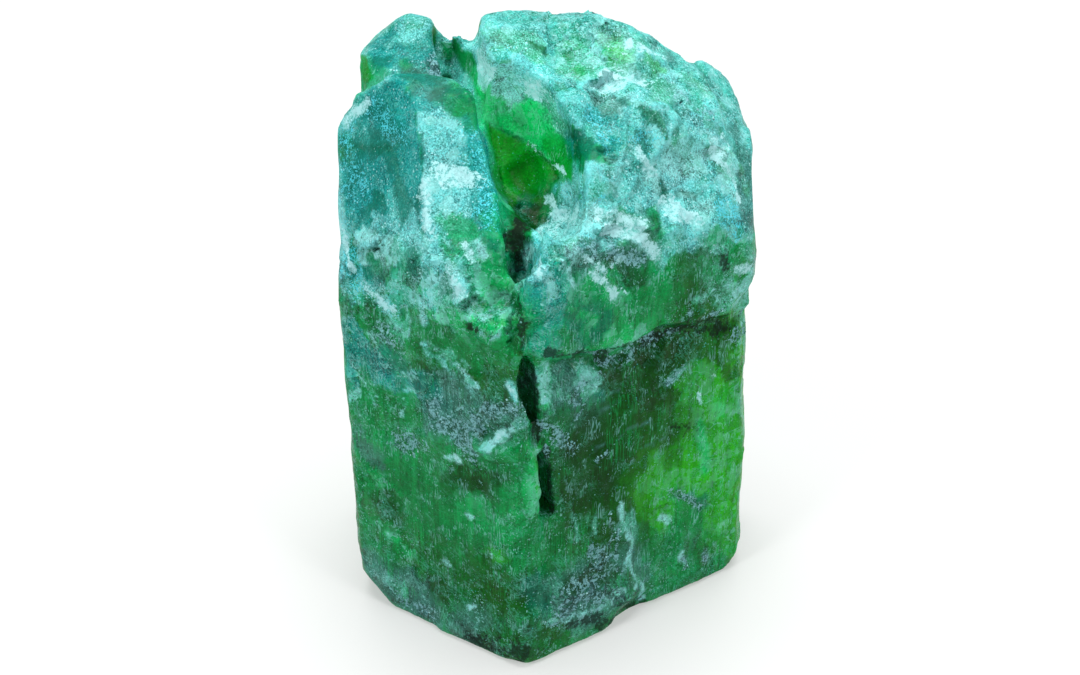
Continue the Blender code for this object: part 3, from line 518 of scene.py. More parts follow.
        (0.8, (-2.1, -12.5, 28.4), (-2.3, -12.5, 25.8)), (0.5, (-1.4, -13.6, 28.2), (-1, -13.9, 22)),
        (0.4, (-0.4, -14, 21.9), (0.1, -12.9, 14.5)),
        (0.9, (11.2, -6.8, 28.4), (13.5, -3.7, 26.9), (15.4, -2.1, 26.1)),
        (0.6, (12.2, -4.9, 26.5), (14.9, -3, 25.7)), (0.5, (-6.5, -13.7, 32.5), (-5.9, -14, 32.5)),
        (0.8, (-2.7, -7.5, 38.3), (-2.4, -9.1, 35.5)),
        (1, (1.3, -13.9, 5.2), (4.2, -12, 4.1), (6.4, -10.2, 3.4)),
        (0.9, (-6.8, -13.3, 0.7), (-3.4, -15.4, 1.5), (-0.4, -15.1, 1.5)),
        (0.7, (4.3, -11.9, 1.2), (7.9, -8, 0.2)), (0.5, (13.6, -5.1, 33.5), (14, -5, 32.6)),
        (0.7, (-9.5, 3.1, 46.8), (-8.8, 2.7, 46)), (1.1, (10.1, -6.8, 18.6), (11.7, -5.7, 17.3)),
        (0.3, (-2.9, -9.3, 35.2), (-2.5, -13.3, 35.4), (-2.3, -14.8, 33.7), (-2.2, -14.9, 30.9)),
        (0.55, (0, -14.4, 30.6), (2.2, -12.6, 29.4), (4.2, -10.2, 27.7)),
        (0.55, (4.2, -10.3, 27.6), (5.6, -10.6, 28.7), (7.6, -7.6, 27.4), (9.8, -6.2, 27.6),
         (12, -6.4, 28.5)), (0.5, (1.3, -13.9, 2.9), (4.3, -12, 2.3)),
    ],
    "slate": [
        (1.6, (-9, -11.5, 23.5), (-6.5, -13, 24), (-4, -15, 26.5)),
        (1.2, (-13.6, -8.5, 27.9), (-12.1, -9.2, 26.5)), (1.2, (-15.9, -6.8, 17), (-14.3, -7.9, 14.7)),
        (1.5, (-14.5, -8, 3), (-11.5, -10, 1)), (2, (2, -13.5, 6), (4, -11.5, 5), (6, -10, 5)),
        (1.5, (-6, -13.5, 2), (-2.5, -16, 3)), (1.4, (0.7, -13.2, 26.7), (3.1, -11.7, 24.3)),
        (1.4, (2.9, -11.6, 38.1), (6.8, -9.3, 36.1)), (1.1, (-10.4, 2.8, 46.6), (-8.6, -2.7, 47)),
        (1.3, (14.8, 1.6, 41.5), (15.5, -0.6, 39.1), (15.6, -2.7, 36.1)),
        (1.3, (-8.1, -11.8, 25.5), (-5.6, -13.7, 25.8)), (0.6, (0.7, -13.2, 26.8), (1.8, -12.5, 25.6)),
        (1.1, (0.8, -14, 5.7), (3.4, -12.5, 3.4)), (0.13, (3.9, -11.1, 22.7), (5.6, -9.9, 23.1)),
        (0.13, (6.1, -9.9, 20.1), (8.3, -8.1, 20.2)), (0.13, (3.5, -11.3, 19.3), (6.1, -9.9, 19.6)),
        (0.13, (4.7, -10.4, 23.8), (7.4, -8.5, 24.3)), (0.12, (2.5, -12, 21.6), (4.3, -10.9, 22)),
        (0.12, (7.4, -8.9, 17.5), (9.5, -7.2, 17.5)), (0.12, (5.7, -9.7, 24.2), (7.2, -8.7, 24.2)),
        (1.3, (1.7, -13.7, 4.4), (4.2, -12, 3.7), (6.9, -10.2, 3)),
        (1.2, (-5.1, 2.6, 49.8), (-4, 2.3, 49.6)),
        (0.9, (6.1, -2, 46), (5.5, -2.5, 45.8), (4.1, -2.1, 45.6)),
        (1.3, (0.5, -14.2, 4.2), (3.4, -12.5, 3.2), (6.2, -10.4, 2.7)),
        (1.3, (-13.9, -8.4, 4), (-12.1, -9.3, 3.4), (-10.3, -10.6, 3.1)),
        (1.4, (-15.1, -7.5, 3.7), (-11.2, -10, 1.9)), (0.9, (6.7, -7.8, 39.1), (7.4, -8.5, 38.1)),
        (1, (2, -12.3, 37.8), (3.5, -11.6, 36.9)), (1, (6.7, -8.5, 38.3), (7.6, -8.7, 37.5)),
        (1.2, (7.1, -8.9, 37.6)), (1.1, (7.1, -9.2, 35.9)), (1, (-3.8, -15, 22.8)),
    ],
    "lilac": [
        (1.3, (4.8, -10.2, 26.9), (6.1, -9, 27.3), (7.3, -7.8, 27.3)),
        (0.4, (9.6, -6.5, 27.3), (10.3, -5.9, 27.2)), (0.5, (12.5, -5.9, 28.6), (13.8, -5.1, 28.3)),
        (0.7, (15.1, -3, 24.9), (16.3, -1.3, 24.4)), (0.4, (11, -7.1, 30.1), (11.5, -6.7, 28.9)),
        (1, (-13.2, -8.5, 28.7), (-12, -9.4, 28)),
        (1.2, (-9.3, -11.2, 23), (-8.1, -12.4, 21.7), (-6.6, -13.5, 21.1)),
        (1.1, (-5.1, -14.2, 24.5), (-3.2, -15.1, 25.5)),
        (0.6, (-0.5, -14.1, 23.6), (0.7, -13.4, 21.8), (1.7, -12.5, 20.2)),
        (0.25, (1.9, -12.4, 22.9), (3.1, -11.7, 24.3), (4.2, -11.1, 26.7)),
        (0.5, (11.7, -6, 4), (12, -5.7, 2.9)), (0.4, (13.8, -4.5, 3.5), (13.8, -4.6, 2.5)),
        (0.9, (3.3, -11.6, 9.7), (4.7, -10.7, 7.3)), (0.8, (2.1, -13.3, 6.2), (3.4, -12.5, 4.5)),
        (0.8, (4.8, 5, 49.5), (5.6, 4.7, 49.3)), (0.9, (11, 0.5, 44.7), (11.8, -0.3, 44.2)),
        (0.7, (-9.5, 4.1, 47.4), (-8.9, 3.2, 46.4), (-8.8, 6.8, 44)),
        (0.4, (9.6, -7, 22.8), (10.4, -6.5, 23.8), (11.3, -6, 24.1)),
        (0.4, (3.8, -11.2, 18.3), (4.5, -10.9, 18.5)), (0.2, (0.2, -13.5, 8), (0.2, -14.2, 5.3)),
        (0.25, (-0.4, -14, 21.5), (-0.2, -13.5, 18.8)),
        (0.7, (2.5, -11.6, 38.3), (4.6, -10.7, 37.4), (6.9, -9.4, 35.6)),
        (1.2, (-8.9, -11.5, 22.3), (-5.6, -13.6, 23.7)), (1, (-12, -8.9, 18.5), (-10.2, -10.7, 18.9)),
        (0.7, (-13.1, -8.7, 1.3), (-10.4, -10.6, 1.6)), (1.1, (0.8, -14, 4.7), (4.2, -12, 4.1)),
        (0.7, (-9.6, 3.3, 46.9), (-9.2, 2.6, 46)), (0.8, (1.2, -13.1, 24.9), (2.7, -11.9, 25.9)),
        (0.8, (3.9, -10.6, 28.3), (7.2, -8.1, 27.2)),
        (0.9, (4.7, -10.5, 26.7), (6.1, -9, 27.3), (7.3, -7.8, 27.3)),
        (0.2, (-0.5, -15, 3.8), (2.5, -13.1, 3.3), (5.1, -11.5, 3.2)),
        (0.5, (10.6, -6.3, 11.2), (13, -5.1, 8.8)),
        (0.16, (0.8, -13.9, 6.7), (3.4, -11.8, 5.9), (6.4, -9.9, 5.4)),
        (0.16, (0.1, -14.4, 4.8), (2.5, -13.1, 5), (5.8, -10.4, 3.8)),
        (0.14, (5.1, -10.4, 12.9), (5.2, -10.3, 7)), (0.14, (4.5, -11, 11.8), (4.5, -10.8, 7.9)),
        (0.12, (5.7, -10.1, 10.1), (5.8, -10.1, 5.3)),
        (0.8, (4.7, -10.4, 26.9), (5.7, -9.3, 27.5), (7.2, -7.9, 27.4)),
    ],
    "mint": [
        (0.9, (-13.5, -8.6, 3), (-12.7, -9, 2.2)), (0.9, (-16.4, -6.4, 21.2), (-15.6, -7, 19.2)),
        (0.8, (-0.3, -13.2, 29), (-0.2, -13.7, 26.6)), (1.6, (4, 5, 49.5), (7, 6, 48.5), (9.5, 5, 47)),
        (1.3, (11.2, 3.5, 45.6), (12.4, 2.1, 44.8), (13.9, 3.6, 42.9)),
        (1.6, (13, -5.5, 33.5), (15, -4.5, 31)), (1.2, (14.6, -4.5, 29.3), (16, -1.7, 28)),
        (1.2, (0.1, -1.4, 45.3), (0.8, -2.6, 43.8)),
        (2.2, (-11.5, -8, 37.5), (-10, -10.5, 36.5), (-8.5, -11.5, 34.5)),
        (0.3, (-5.6, -13.7, 33.3), (-3.5, -13.3, 33.5)), (0.25, (-5.3, -14.4, 32.4), (-3.3, -14.5, 32.6)),
        (0.35, (-11.4, -9.3, 31), (-11.3, -9.7, 29.3)),
        (0.3, (-10, -10.9, 29.3), (-8.2, -11.5, 28.7), (-6.3, -12.8, 28.5)),
        (0.2, (-12.3, -8.8, 24.7), (-10.8, -10.3, 25.5)), (0.2, (-11.8, -9, 24.1), (-10.1, -10.7, 24.9)),
        (0.2, (-11.4, -9.3, 23.6), (-10.3, -10.6, 24.3)),
        (0.42, (-5.3, -14.8, 22.1), (-3.6, -14.9, 23.2), (-2, -15.1, 24.4)),
        (0.2, (-16.2, -6.6, 24.7), (-15.5, -6.7, 23), (-14.3, -7.6, 21.2)),
        (0.18, (-16.5, -6.7, 28.9), (-16.1, -6.8, 26.9)), (0.2, (-14.8, -7.7, 28.4), (-13.5, -8.5, 26.4)),
        (0.3, (11.1, -7, 30.8), (14.5, -4.7, 30.7)), (0.3, (13.4, -5.3, 29.6), (15.6, -3.9, 29.5)),
        (0.8, (2.3, -11.7, 27.3), (3.6, -11.3, 25.6), (3.9, -11.1, 24.3)),
        (0.7, (-0.7, -13.9, 28.8), (-0.4, -13.9, 26.2)),
        (0.4, (9.6, -7, 22.8), (10.4, -6.5, 23.6), (11.1, -6.1, 23.9)),
        (0.4, (-1.2, -14.1, 21.6), (-0.9, -12.5, 18.4)),
        (0.2, (-5.4, -14.3, 32.1), (-4.2, -14.7, 32.5), (-3.1, -14.8, 32.3)),
        (1.3, (-12.6, -8.6, 30.2), (-11.6, -9.2, 29.7)),
        (0.16, (-16.2, -6.6, 24.7), (-15.1, -7, 22.6), (-14.1, -7.8, 21.9)),
        (0.16, (-13.2, -8.6, 28.5), (-12.2, -9.3, 27)),
        (0.16, (-12.8, -8.6, 24.9), (-12.2, -8.8, 23.2), (-12, -8.8, 20.9)),
        (1, (6.2, -9.9, 10.8), (7.1, -9.1, 9.5)), (0.9, (-0.6, -13.6, 28.6), (-0.2, -13.9, 26)),
        (0.8, (2.1, -11.6, 27.7), (3.2, -11.5, 25.7)), (1, (6.2, -9.8, 9.4), (7.1, -9.1, 8.2)),
        (1.3, (-0.9, 1.7, 47.8), (0.4, 2.4, 47.1)), (1.3, (-5, 2.6, 49.8), (-3.4, 2.7, 49.6)),
        (1.3, (3.9, 4.3, 49), (6.8, 3.8, 48.6), (8.6, 4, 47.1)),
        (0.25, (1.8, -12.6, 13.5), (2, -12.4, 12.1), (2.2, -12.2, 10.7)),
        (0.22, (3.1, -11.6, 14.1), (3.1, -11.7, 12.3)), (0.22, (3.6, -11.4, 12.9), (3.6, -11.5, 10.9)),
    ],
    "pine": [
        (1.1, (-13.7, -1.1, 44.4), (-12.9, -2.3, 44.3), (-11.9, -4, 43.7)),
        (1, (-15.1, -1.1, 42), (-13.7, -2.4, 42.4), (-12.4, -3.8, 42.6)),
        (0.9, (-15.8, -0.9, 41), (-15.7, -2.5, 38.3)), (1.2, (-12.1, -4.5, 41.9), (-11.4, -7.2, 39.4)),
        (1.2, (-14.7, -4.3, 37), (-13.4, -4.9, 38.6)), (1.1, (-13.2, -7.4, 35), (-10.9, -9.9, 35.9)),
        (0.8, (-14, -7.1, 33.7), (-13.1, -7.9, 33.7)), (0.5, (-15.8, -4.8, 34.4), (-15.3, -5.4, 34.5)),
        (0.5, (-16, -5.3, 33.3), (-15.7, -5.9, 32.9)),
        (0.3, (-10.8, -3.3, 46.8), (-10.2, -5.8, 44.3), (-9.7, -7.2, 42.3)),
        (0.3, (-10.1, -7.5, 41.2), (-10.1, -9.3, 38.5)), (0.35, (8.1, -5, 41.5), (8.5, -5.1, 40.7)),
        (0.6, (8.3, -5.5, 40.4), (8.7, -5.7, 39.3)), (0.4, (2.6, -9.6, 40.1), (3.4, -9.3, 39.6)),
        (0.35, (3.9, -9.4, 39.3), (5.2, -9.3, 38.7), (6.8, -8.2, 38.6)),
        (0.4, (10.5, -0.5, 44.2), (10.8, -0.8, 43.9)), (0.9, (13.4, -3.1, 38.1), (14.1, -2.9, 37.6)),
        (0.7, (6.8, -4.6, 44.4), (7.5, -4.9, 42.8)), (1, (1.7, -4.8, 44.8), (2.5, -5.9, 43.5)),
        (0.7, (-15, -6.2, 33.8), (-14.1, -6.8, 33.8)), (1.2, (-12.3, -8.8, 24.3), (-10.1, -10.7, 25)),
        (0.7, (-16.5, 0, 41.3), (-16, -0.8, 40.9)), (0.8, (-12.9, -7.8, 35.2), (-11.5, -9.2, 35.7)),
        (1.3, (1.7, -13.5, 34.6), (3.1, -12.4, 32.9), (3.8, -11.9, 31.4)),
        (1.1, (-11.4, -1.2, 47.2), (-9.7, -1.2, 47.2), (-8.1, -2.7, 47)),
        (0.8, (-16.5, 0.2, 41.5), (-15.7, -1.2, 41)), (1.3, (-9.6, -0.9, 47.2), (-8.6, -1.2, 47.2)),
        (1, (-16.4, -0.3, 41.1), (-15.8, -0.9, 41)), (0.9, (10.8, -6.2, 10.7), (13, -5.1, 8.8)),
        (1, (1.6, -13.4, 32.3), (2.1, -12.9, 30.5)), (0.9, (-12.9, -7.8, 35.4), (-12.2, -8.7, 35)),
        (1.3, (-1.2, -14.7, 8.5), (-0.7, -14.7, 5.7)), (1.1, (-16.4, 0, 41.5), (-15.8, -1, 40.9)),
        (0.5, (7, -3.1, 45.5), (7.6, -3.8, 44.8)), (0.4, (8.8, -2.1, 45.6), (9.1, -2.8, 44.6)),
        (0.9, (-11.2, 3.3, 46.9), (-10.8, -1.9, 47.2)), (1.1, (-9.2, -0.9, 47.2)), (1.1, (-8, -2.7, 47)),
        (1.1, (-6.9, -3, 47)), (1.1, (-14, 3.7, 46.6)), (1, (-4.8, -14.3, 26.2)),
        (0.9, (-2.7, -3.4, 37.5)), (1, (4, -11.1, 24.1)), (0.7, (3.8, -11.6, 35.9)),
        (0.7, (-4.7, -10.5, 37.8)),
    ],
    "smooth": [
        (4, (7, -9, 22.5), (8.5, -7.5, 13.5)), (3.4, (13.5, -4.5, 21.5), (15, -4, 12)),
        (2.2, (3, -12.5, 32.5), (7, -10, 31.5), (10, -7.5, 32)),
        (1.2, (-9.5, -11.1, 29.3), (-3.5, -15.1, 31.6)), (1, (-4.1, -9.9, 38.7), (-3.9, -12.4, 34)),
        (1.6, (-6.5, -13, 15.5), (-5.5, -14, 19)),
        (5, (4, -11, 22), (7.5, -8.5, 10), (12.5, -5.5, 16), (15, -4, 8.5)),
        (3.5, (-12.5, -9, 15.5), (-8.5, -12, 10.5), (-5.5, -13.5, 18)),
        (1.6, (1, -14, 34), (4, -12, 31.5), (7.5, -9, 32)), (2.2, (14, -4, 24.5), (15.5, -3.5, 15.5)),
    ],
    # some frosting marks lie on slopes that face away from the lamps and lighten them: painted light there
    "frosting": [
        (1, (6.7, 1.1, 46.7), (7.8, 0.9, 46.3)),
        (0.9, (-5.3, 1.9, 47.8), (-4.5, 0.7, 46.9), (-4, 1.5, 45.3)),
        (1.2, (7.8, -5.5, 41.1), (9.1, -3.7, 41.3), (10.6, -2.6, 42)),
        (0.8, (8.8, -4.6, 40.6), (10.5, -2.9, 40.4)),
        (1, (12.9, -1.3, 41.4), (14, -1.5, 40.3), (14.1, -1.7, 38.9)),
        (0.9, (-12, 6.6, 48.8), (-11, 5.6, 48.5), (-10.2, 4.8, 48.3)),
        (1, (0.1, -5.2, 37.5), (1.9, -8.2, 38.8)), (1, (10.9, -4.6, 38.3), (12.4, -4.2, 37.7)),
        (1.2, (-0.9, -6.6, 36.7), (1.5, -12, 38.6)), (0.9, (-4.2, 0.5, 47.6), (-3.6, 1.5, 45.1)),
        (0.7, (-6, 4.2, 47), (-5.1, 1.5, 47.2)), (0.9, (0.4, -4.9, 38.1), (0.9, -6.2, 37.4)),
        (1, (1.6, -6.4, 38.4), (2.8, -9.8, 39.3)),
        (1.1, (-12, 6.5, 48.5), (-10.8, 5.9, 48.9), (-10, 4.7, 48.2)),
        (1.3, (-15, -5.2, 35.4), (-13.1, -7.2, 36)),
        (0.3, (6, -10, 12.9), (6, -10, 11), (6.3, -9.8, 9.6), (6.9, -9.3, 8.3), (6.8, -9.6, 6.5),
         (7, -9.3, 5), (7.8, -8.7, 3.3), (8, -7.8, 0.8)),
        (0.25, (-1.2, -15.4, 4.2), (1.7, -13.8, 3.6), (4.4, -11.9, 3.3), (7.5, -9.2, 3.2)),
        (0.22, (4.6, -11.9, 3.9), (6.2, -10.2, 3.5), (7.4, -9, 3.8)),
        (0.45, (11.6, -6.1, 4.4), (11.9, -5.9, 3.2)), (0.4, (13.6, -4.7, 3.7), (13.9, -4.4, 2.8)),
        (0.4, (9.6, -7.1, 9), (10.2, -6.7, 8.3)),
        (0.5, (-5, -14.9, 22.3), (-3.7, -14.9, 23.1), (-2.4, -15.3, 24.5)),
        (0.35, (-8.6, -12, 18.9), (-7.5, -12.7, 19.2)), (0.25, (-6.3, -13.7, 20.7), (-5.8, -13.9, 19.5)),
        (0.25, (-6.8, -12.7, 4), (-6.1, -13.2, 4.2)), (0.22, (-8.9, -11.4, 7.9), (-8.4, -11.7, 7.5)),
        (0.22, (-6.8, -12.8, 13.6), (-6.1, -13.3, 13.4)), (0.25, (-5.3, -13.7, 11), (-4.8, -14.2, 10.6)),
        (0.22, (-9.5, -11.1, 29.1), (-8.2, -11.5, 28.4), (-7.1, -12.3, 27.7), (-6, -13.3, 26.9)),
        (0.25, (-9.8, -10.7, 33), (-10.1, -10.7, 31)),
        (0.22, (0.6, -13.7, 38.8), (1.4, -13.5, 37.3), (1.7, -13.4, 35.8)),
        (0.25, (4.2, -9.9, 38.9), (6.3, -9.3, 37.7), (8.1, -8.6, 35.3)),
        (0.22, (5.5, -2.3, 45.9), (5.4, -6.4, 43.2)),
        (0.22, (2.3, 4.3, 48), (3.9, 2.2, 47.9), (5, 1.4, 47.3)),
        (0.22, (13.1, -2.1, 40), (14.1, -2.1, 38.4), (15, -2.4, 36.8)),
        (1.2, (-4.9, 0.8, 47.8), (-4, 1.2, 46.3), (-3.6, 1.5, 44.9)),
        (0.9, (-6.2, 4.5, 46.7), (-5.5, 2.7, 46.7)), (1.2, (9.8, -3.2, 41.7), (11.1, -2.1, 41.4)),
        (0.3, (-7.6, -11.2, 36.6), (-6.7, -12, 35.2)), (0.25, (-5.8, -10.2, 38), (-5.1, -10.9, 37)),
        (0.3, (-15.5, -5.3, 34.4), (-14.6, -6.4, 33.7)), (1, (0.4, -5.1, 37.9), (0.9, -6.2, 37.4)),
        (1.3, (-6.3, 4.6, 47), (-5.8, 3.6, 46.3), (-5.3, 2.3, 45.6)),
        (1.3, (-5.3, 1.9, 47.8), (-4.6, 0.7, 47), (-4.2, 1.4, 45.3)),
        (1.3, (-4.5, 0.5, 48.2), (-3.7, 1.3, 46.3), (-3.3, 1.5, 44.8)), (1.2, (10.6, -2.6, 41)),
        (1.2, (0.6, -5.7, 37.6)),
    ],
}

# The large broken faces: the tone of each, and its corners in mm.
panes = [
    ("ice", (-10.4, -4.4, 45.8), (-9.3, -4.1, 46), (-7.9, -3.9, 46.3), (-7.3, -4.4, 45.6),
     (-6.5, -5.7, 43.8), (-6.2, -8.2, 40.4), (-6.1, -9.7, 38.4), (-9.6, -9.9, 38.5), (-9.7, -7.5, 41.9),
     (-10, -6.3, 43.7), (-10.5, -4.2, 45.9)),
    ("teal", (-11.4, -1.8, 47.2), (-10.2, -1.5, 47.2), (-8.9, -2.4, 47.1), (-7.6, -3.8, 46.4),
     (-9.3, -4.1, 46), (-10.4, -4.3, 45.9)),
    ("teal", (-6.9, -4.1, 45.8), (-5.1, -0.8, 41.9), (-4.3, -4.1, 39.1), (-3.7, -8.3, 38),
     (-6.1, -9.7, 38.4), (-6.2, -8.2, 40.4), (-6.5, -5.7, 43.8)),
    ("teal", (-11.9, -1.2, 47.2), (-10.9, -1.9, 47.2), (-10.5, -4.1, 46), (-11.5, -4.4, 43.8),
     (-13.9, -1.7, 43.3), (-14.4, -0.3, 44.7), (-13.1, -0.8, 46.4)),
    ("teal", (-11.6, -4.4, 43.4), (-10.5, -4.3, 45.8), (-10, -6.3, 43.7), (-9.8, -7.5, 41.9),
     (-9.6, -9.8, 38.5), (-16.4, -3.6, 35.1), (-16.8, -0.4, 39.9), (-15.5, -1.2, 41.2),
     (-12.6, -3.7, 42.2)),
    ("ice", (-12.2, 6.9, 48.9), (-10.8, 7.4, 49.2), (-9.9, 5.4, 48.8), (-9.2, 7.8, 46.5),
     (-10.5, 4.1, 47.8), (-12.1, 4.7, 48)),
    ("teal", (-12.3, 6.9, 48.7), (-12.3, 4.9, 48), (-14.2, 5.1, 47), (-15.2, 8.2, 46), (-13.6, 6.8, 47.7)),
    ("grass", (-15.5, 6.9, 45.9), (-14.9, 5.2, 46.4), (-14.3, 2.9, 45.5), (-15, 3.4, 44.8),
     (-15.2, 4.1, 44.8)),
    ("teal", (-14.8, 5.6, 46.6), (-11.9, 4.4, 47.8), (-11.2, 3.3, 46.9), (-13, 2.5, 46.6),
     (-14.2, 3.7, 46.4)),
    ("teal", (-11.8, 4.3, 47.7), (-9.4, 7.7, 46.2), (-9, 3.5, 46.8), (-11.1, 2.8, 46.6)),
    ("emerald", (-9, 8, 46.5), (-8.3, 7.7, 46.7), (-7.8, 7.1, 45.8), (-8.3, 7.2, 45), (-8.8, 7.4, 45.3)),
    ("ice", (-6.4, 5.1, 47.3), (-5.6, 2.9, 48.1), (-4.8, 0.6, 47.8), (-4.2, 1.4, 45.5), (-5, 1, 46.2),
     (-6, 4.2, 46.3)),
    ("mint", (-5.3, 2.1, 49.5), (-3.6, 3.1, 49.9), (-1.3, 4.1, 49.2), (-0.2, 3.6, 48), (-0.9, 1.7, 47.8),
     (-3.2, 1.1, 48.7), (-4.6, 1.1, 48.7)),
    ("aqua", (-4.5, 0.8, 48.5), (-3.1, 0.9, 48.6), (-0.7, 1.6, 47.7), (0.3, 0.7, 47.2), (-0.1, -1.7, 46.9),
     (-1.7, 0.4, 46), (-3.6, 1.5, 45.6)),
    ("bright", (-6, 3.7, 44.5), (-5.3, 2.2, 45), (-4.4, 1.2, 43.9), (-3.6, 1.3, 43), (-2.8, 1.3, 44.2),
     (-1.5, 0.4, 44.8), (-0.4, -0.5, 44.7), (0.5, -2.1, 44), (1, -2.9, 42.7), (1, -3.4, 41.4),
     (0.1, -2.5, 40.6), (-2.1, 0, 41.5), (-3.8, 0.8, 42), (-5.3, 0.1, 43.3)),
    ("grass", (-5.3, 0.1, 43.2), (-3.8, 0.7, 41.8), (-2.1, -0.1, 41.3), (0.1, -2.6, 40.4), (0.7, -3.8, 40),
     (-0.1, -3.2, 38.8), (-0.6, -3.9, 37.7), (-3.1, -3.6, 37.6), (-3.7, -2.7, 38.4), (-4.5, -0.7, 40.7)),
    ("deep", (-3.2, -5, 38.2), (-0.6, -4, 37.6), (-0.9, -5.6, 36.9), (-1.6, -9.8, 37.6),
     (-2.1, -9.3, 35.4), (-2.7, -9.2, 35.3), (-3.2, -8.4, 37.4)),
    ("mint", (0.4, 4.2, 48.1), (2, 4.7, 48.2), (3.9, 2.2, 47.9), (5.1, 1, 47), (3.7, 0.1, 46.6),
     (2.1, -0.2, 46.6), (0.4, 0.4, 47.2)),
    ("mint", (2.8, 4.9, 48.6), (4.1, 4.2, 49.1), (5.5, 3.2, 48.5), (6.7, 2.1, 47.8), (7, 1.4, 47.1),
     (5.6, 1.6, 47.6), (4, 2.7, 48.4)),
    ("mint", (7.5, 2, 47.5), (8.8, 3.5, 47), (9.1, 3, 46), (7.8, 1.3, 46.4)),
    ("mint", (8, 0.9, 46.2), (9.4, 3.6, 46.4), (11.1, 3.2, 45.6), (11, 1, 44.9), (9.1, -1.5, 45.3),
     (7.7, -2.2, 46)),
    ("teal", (2.7, -3.6, 45.6), (4.3, -1.7, 45.7), (5.5, -1.9, 46), (5.6, -6.5, 42.9), (4.2, -6.4, 43.6),
     (3, -4.8, 44.6)),
    ("aqua", (5.7, -2.1, 45.9), (7.3, -2.6, 45.8), (8.4, -3.2, 44.7), (9.3, -3.3, 43.3), (8.1, -4.7, 42),
     (6.7, -5.9, 42.3), (5.6, -6.4, 42.9)),
    ("deep", (1.6, -4.5, 45.2), (3, -5.6, 44), (4.6, -7.1, 42.8), (1.2, -3.9, 41.4)),
    ("ice", (10.6, 1.5, 45), (12, 1.2, 44.7), (12.7, -0.4, 43.6), (13.2, -1, 41.8), (12, -1.6, 41.4),
     (10.9, -2.1, 43.4)),
    ("ice", (13, 4, 44.1), (14.6, 4.5, 42.5), (15.7, 3, 41.2), (16.1, 0.9, 40.1), (15.4, 0.3, 39.7),
     (14.2, 1, 41.9)),
    ("aqua", (1.9, -5.5, 41.4), (3.1, -7.1, 43.2), (5.7, -6.7, 42.4), (6.8, -6.3, 41.5), (6, -7.6, 40.1),
     (3.7, -8.9, 40.3), (2.2, -7.5, 40.3)),
    ("aqua", (6.8, -6.3, 41.5), (8.1, -5.5, 40.7), (8.6, -6.2, 38.9), (7, -7.9, 38.8), (5.1, -8.7, 39.6),
     (6, -7.6, 40.1)),
    ("ice", (7.6, -5.2, 41.8), (9.1, -3.5, 42.3), (10.6, -2.7, 40.5), (10.1, -4.5, 39.1),
     (8.6, -5.1, 40.3)),
    ("ice", (10.5, -2.7, 40.9), (11.8, -1.7, 41.3), (12.8, -1.9, 40.3), (12.6, -3.1, 38.7),
     (11.4, -4.2, 38.4), (10.5, -4.2, 39.2)),
    ("aqua", (13.1, -2.1, 40), (15, -1.5, 38.1), (15.6, -3, 35.7), (13.6, -4.5, 36.3), (12.1, -4.3, 37.8)),
    ("ice", (-0.9, -5.9, 36.8), (0.7, -5.8, 37.5), (1.8, -8.6, 38.4), (3.7, -10.6, 38.6),
     (3.4, -11.3, 38.1), (0.6, -12.9, 39.1), (-0.7, -13.6, 39)),
    ("cyan", (-0.1, -3.7, 38.3), (0.5, -3.7, 39.8), (1.2, -5, 39.6), (0.9, -5.4, 37.8), (0.1, -5.4, 37.5)),
]

# How far the marks' edges wander, and over what lengths in mm.
ragged = {
    "coarse": 3.4, "fine": 1.1, "fineShare": 0.5, "grain": 0.5, "grainShare": 0.3,
    "share": 0.28, "least": 0.12, "widest": 2.4, "panes": 0.12, "seed": 6,
}


# How far each point stands out from the points around it, in mm, over the given rounds of averaging.
def standing(mesh, places, normals, rounds):
    ends = np.empty(len(mesh.edges) * 2, int)
    mesh.edges.foreach_get("vertices", ends)
    first, second = ends.reshape(-1, 2).T
    shares = np.bincount(first, minlength=len(places)) + np.bincount(second, minlength=len(places))
    evened = places.copy()
    for _ in range(rounds):
        total = np.empty_like(evened)
        for axis in range(3):
            total[:, axis] = np.bincount(first, evened[second, axis], len(places))
            total[:, axis] += np.bincount(second, evened[first, axis], len(places))
        evened = total / shares[:, None]
    return ((places - evened) * normals).sum(1)


# Broad tones colour the stone itself. The others lie on it as crumbs, dust and thin lines.
broadTones = (
    "frosting", "aqua", "ice", "mint", "lime", "teal", "leaf", "emerald",
    "bright", "olive", "glow", "grass", "deep", "pine", "slate",
)
# How frosted the stone is under each tone. It is clear under the rest.
frosty = {
    "frosting": 1.0, "ice": 1.0, "white": 1.0, "cyan": 0.9, "aqua": 0.85,
    "mint": 0.7, "teal": 0.28, "lime": 0.4, "slate": 0.15,
}
clearTones = ("emerald", "bright", "glow")
# How marks fade, in shares of their own width.
spread = {
    "blended": 0.95, "over": (0.5, 1.1), "dust": (0.1, 1.6),
    "beyond": 4,  # farther than any mark reaches
    "weight": 3,  # narrow marks count for more where they blend
    "ground": 0.05, "topGround": 0.2,  # shares of the plain stone and its frosted top under all marks
    "topLean": (0.18, 0.45), "topZ": (30, 34),
    "paneShare": 0.85, "overShare": 0.75,
    "turn": (-0.5, 1.0),  # mm that the far side's marks move as they are turned
    "farSide": (3.0, 8.0),  # mm along y, from the near side's marks to the far side's
}

# Broken faces take their tone from their own middle, so tones meet along sharp edges.
mosaic = {
    "large": (2.4, 2.4, 3.4), "largeShare": 0.4, "largeDrift": 0.5,
    "small": (0.9, 0.9, 1.4), "smallShare": 0.3, "smallDrift": 0.3,
    "from": 0.7,  # marks wider than this take the large faces too
    "over": 1.35,  # marks wider than this blend, and the narrower ones lie over them
}


# The far side carries the same bands as the near one, turned half round.
def bothSides(places):
    turned = places * (-1, -1, 1) + (*spread["turn"], 0)
    return turned, smoothStep(places[:, 1], *spread["farSide"])


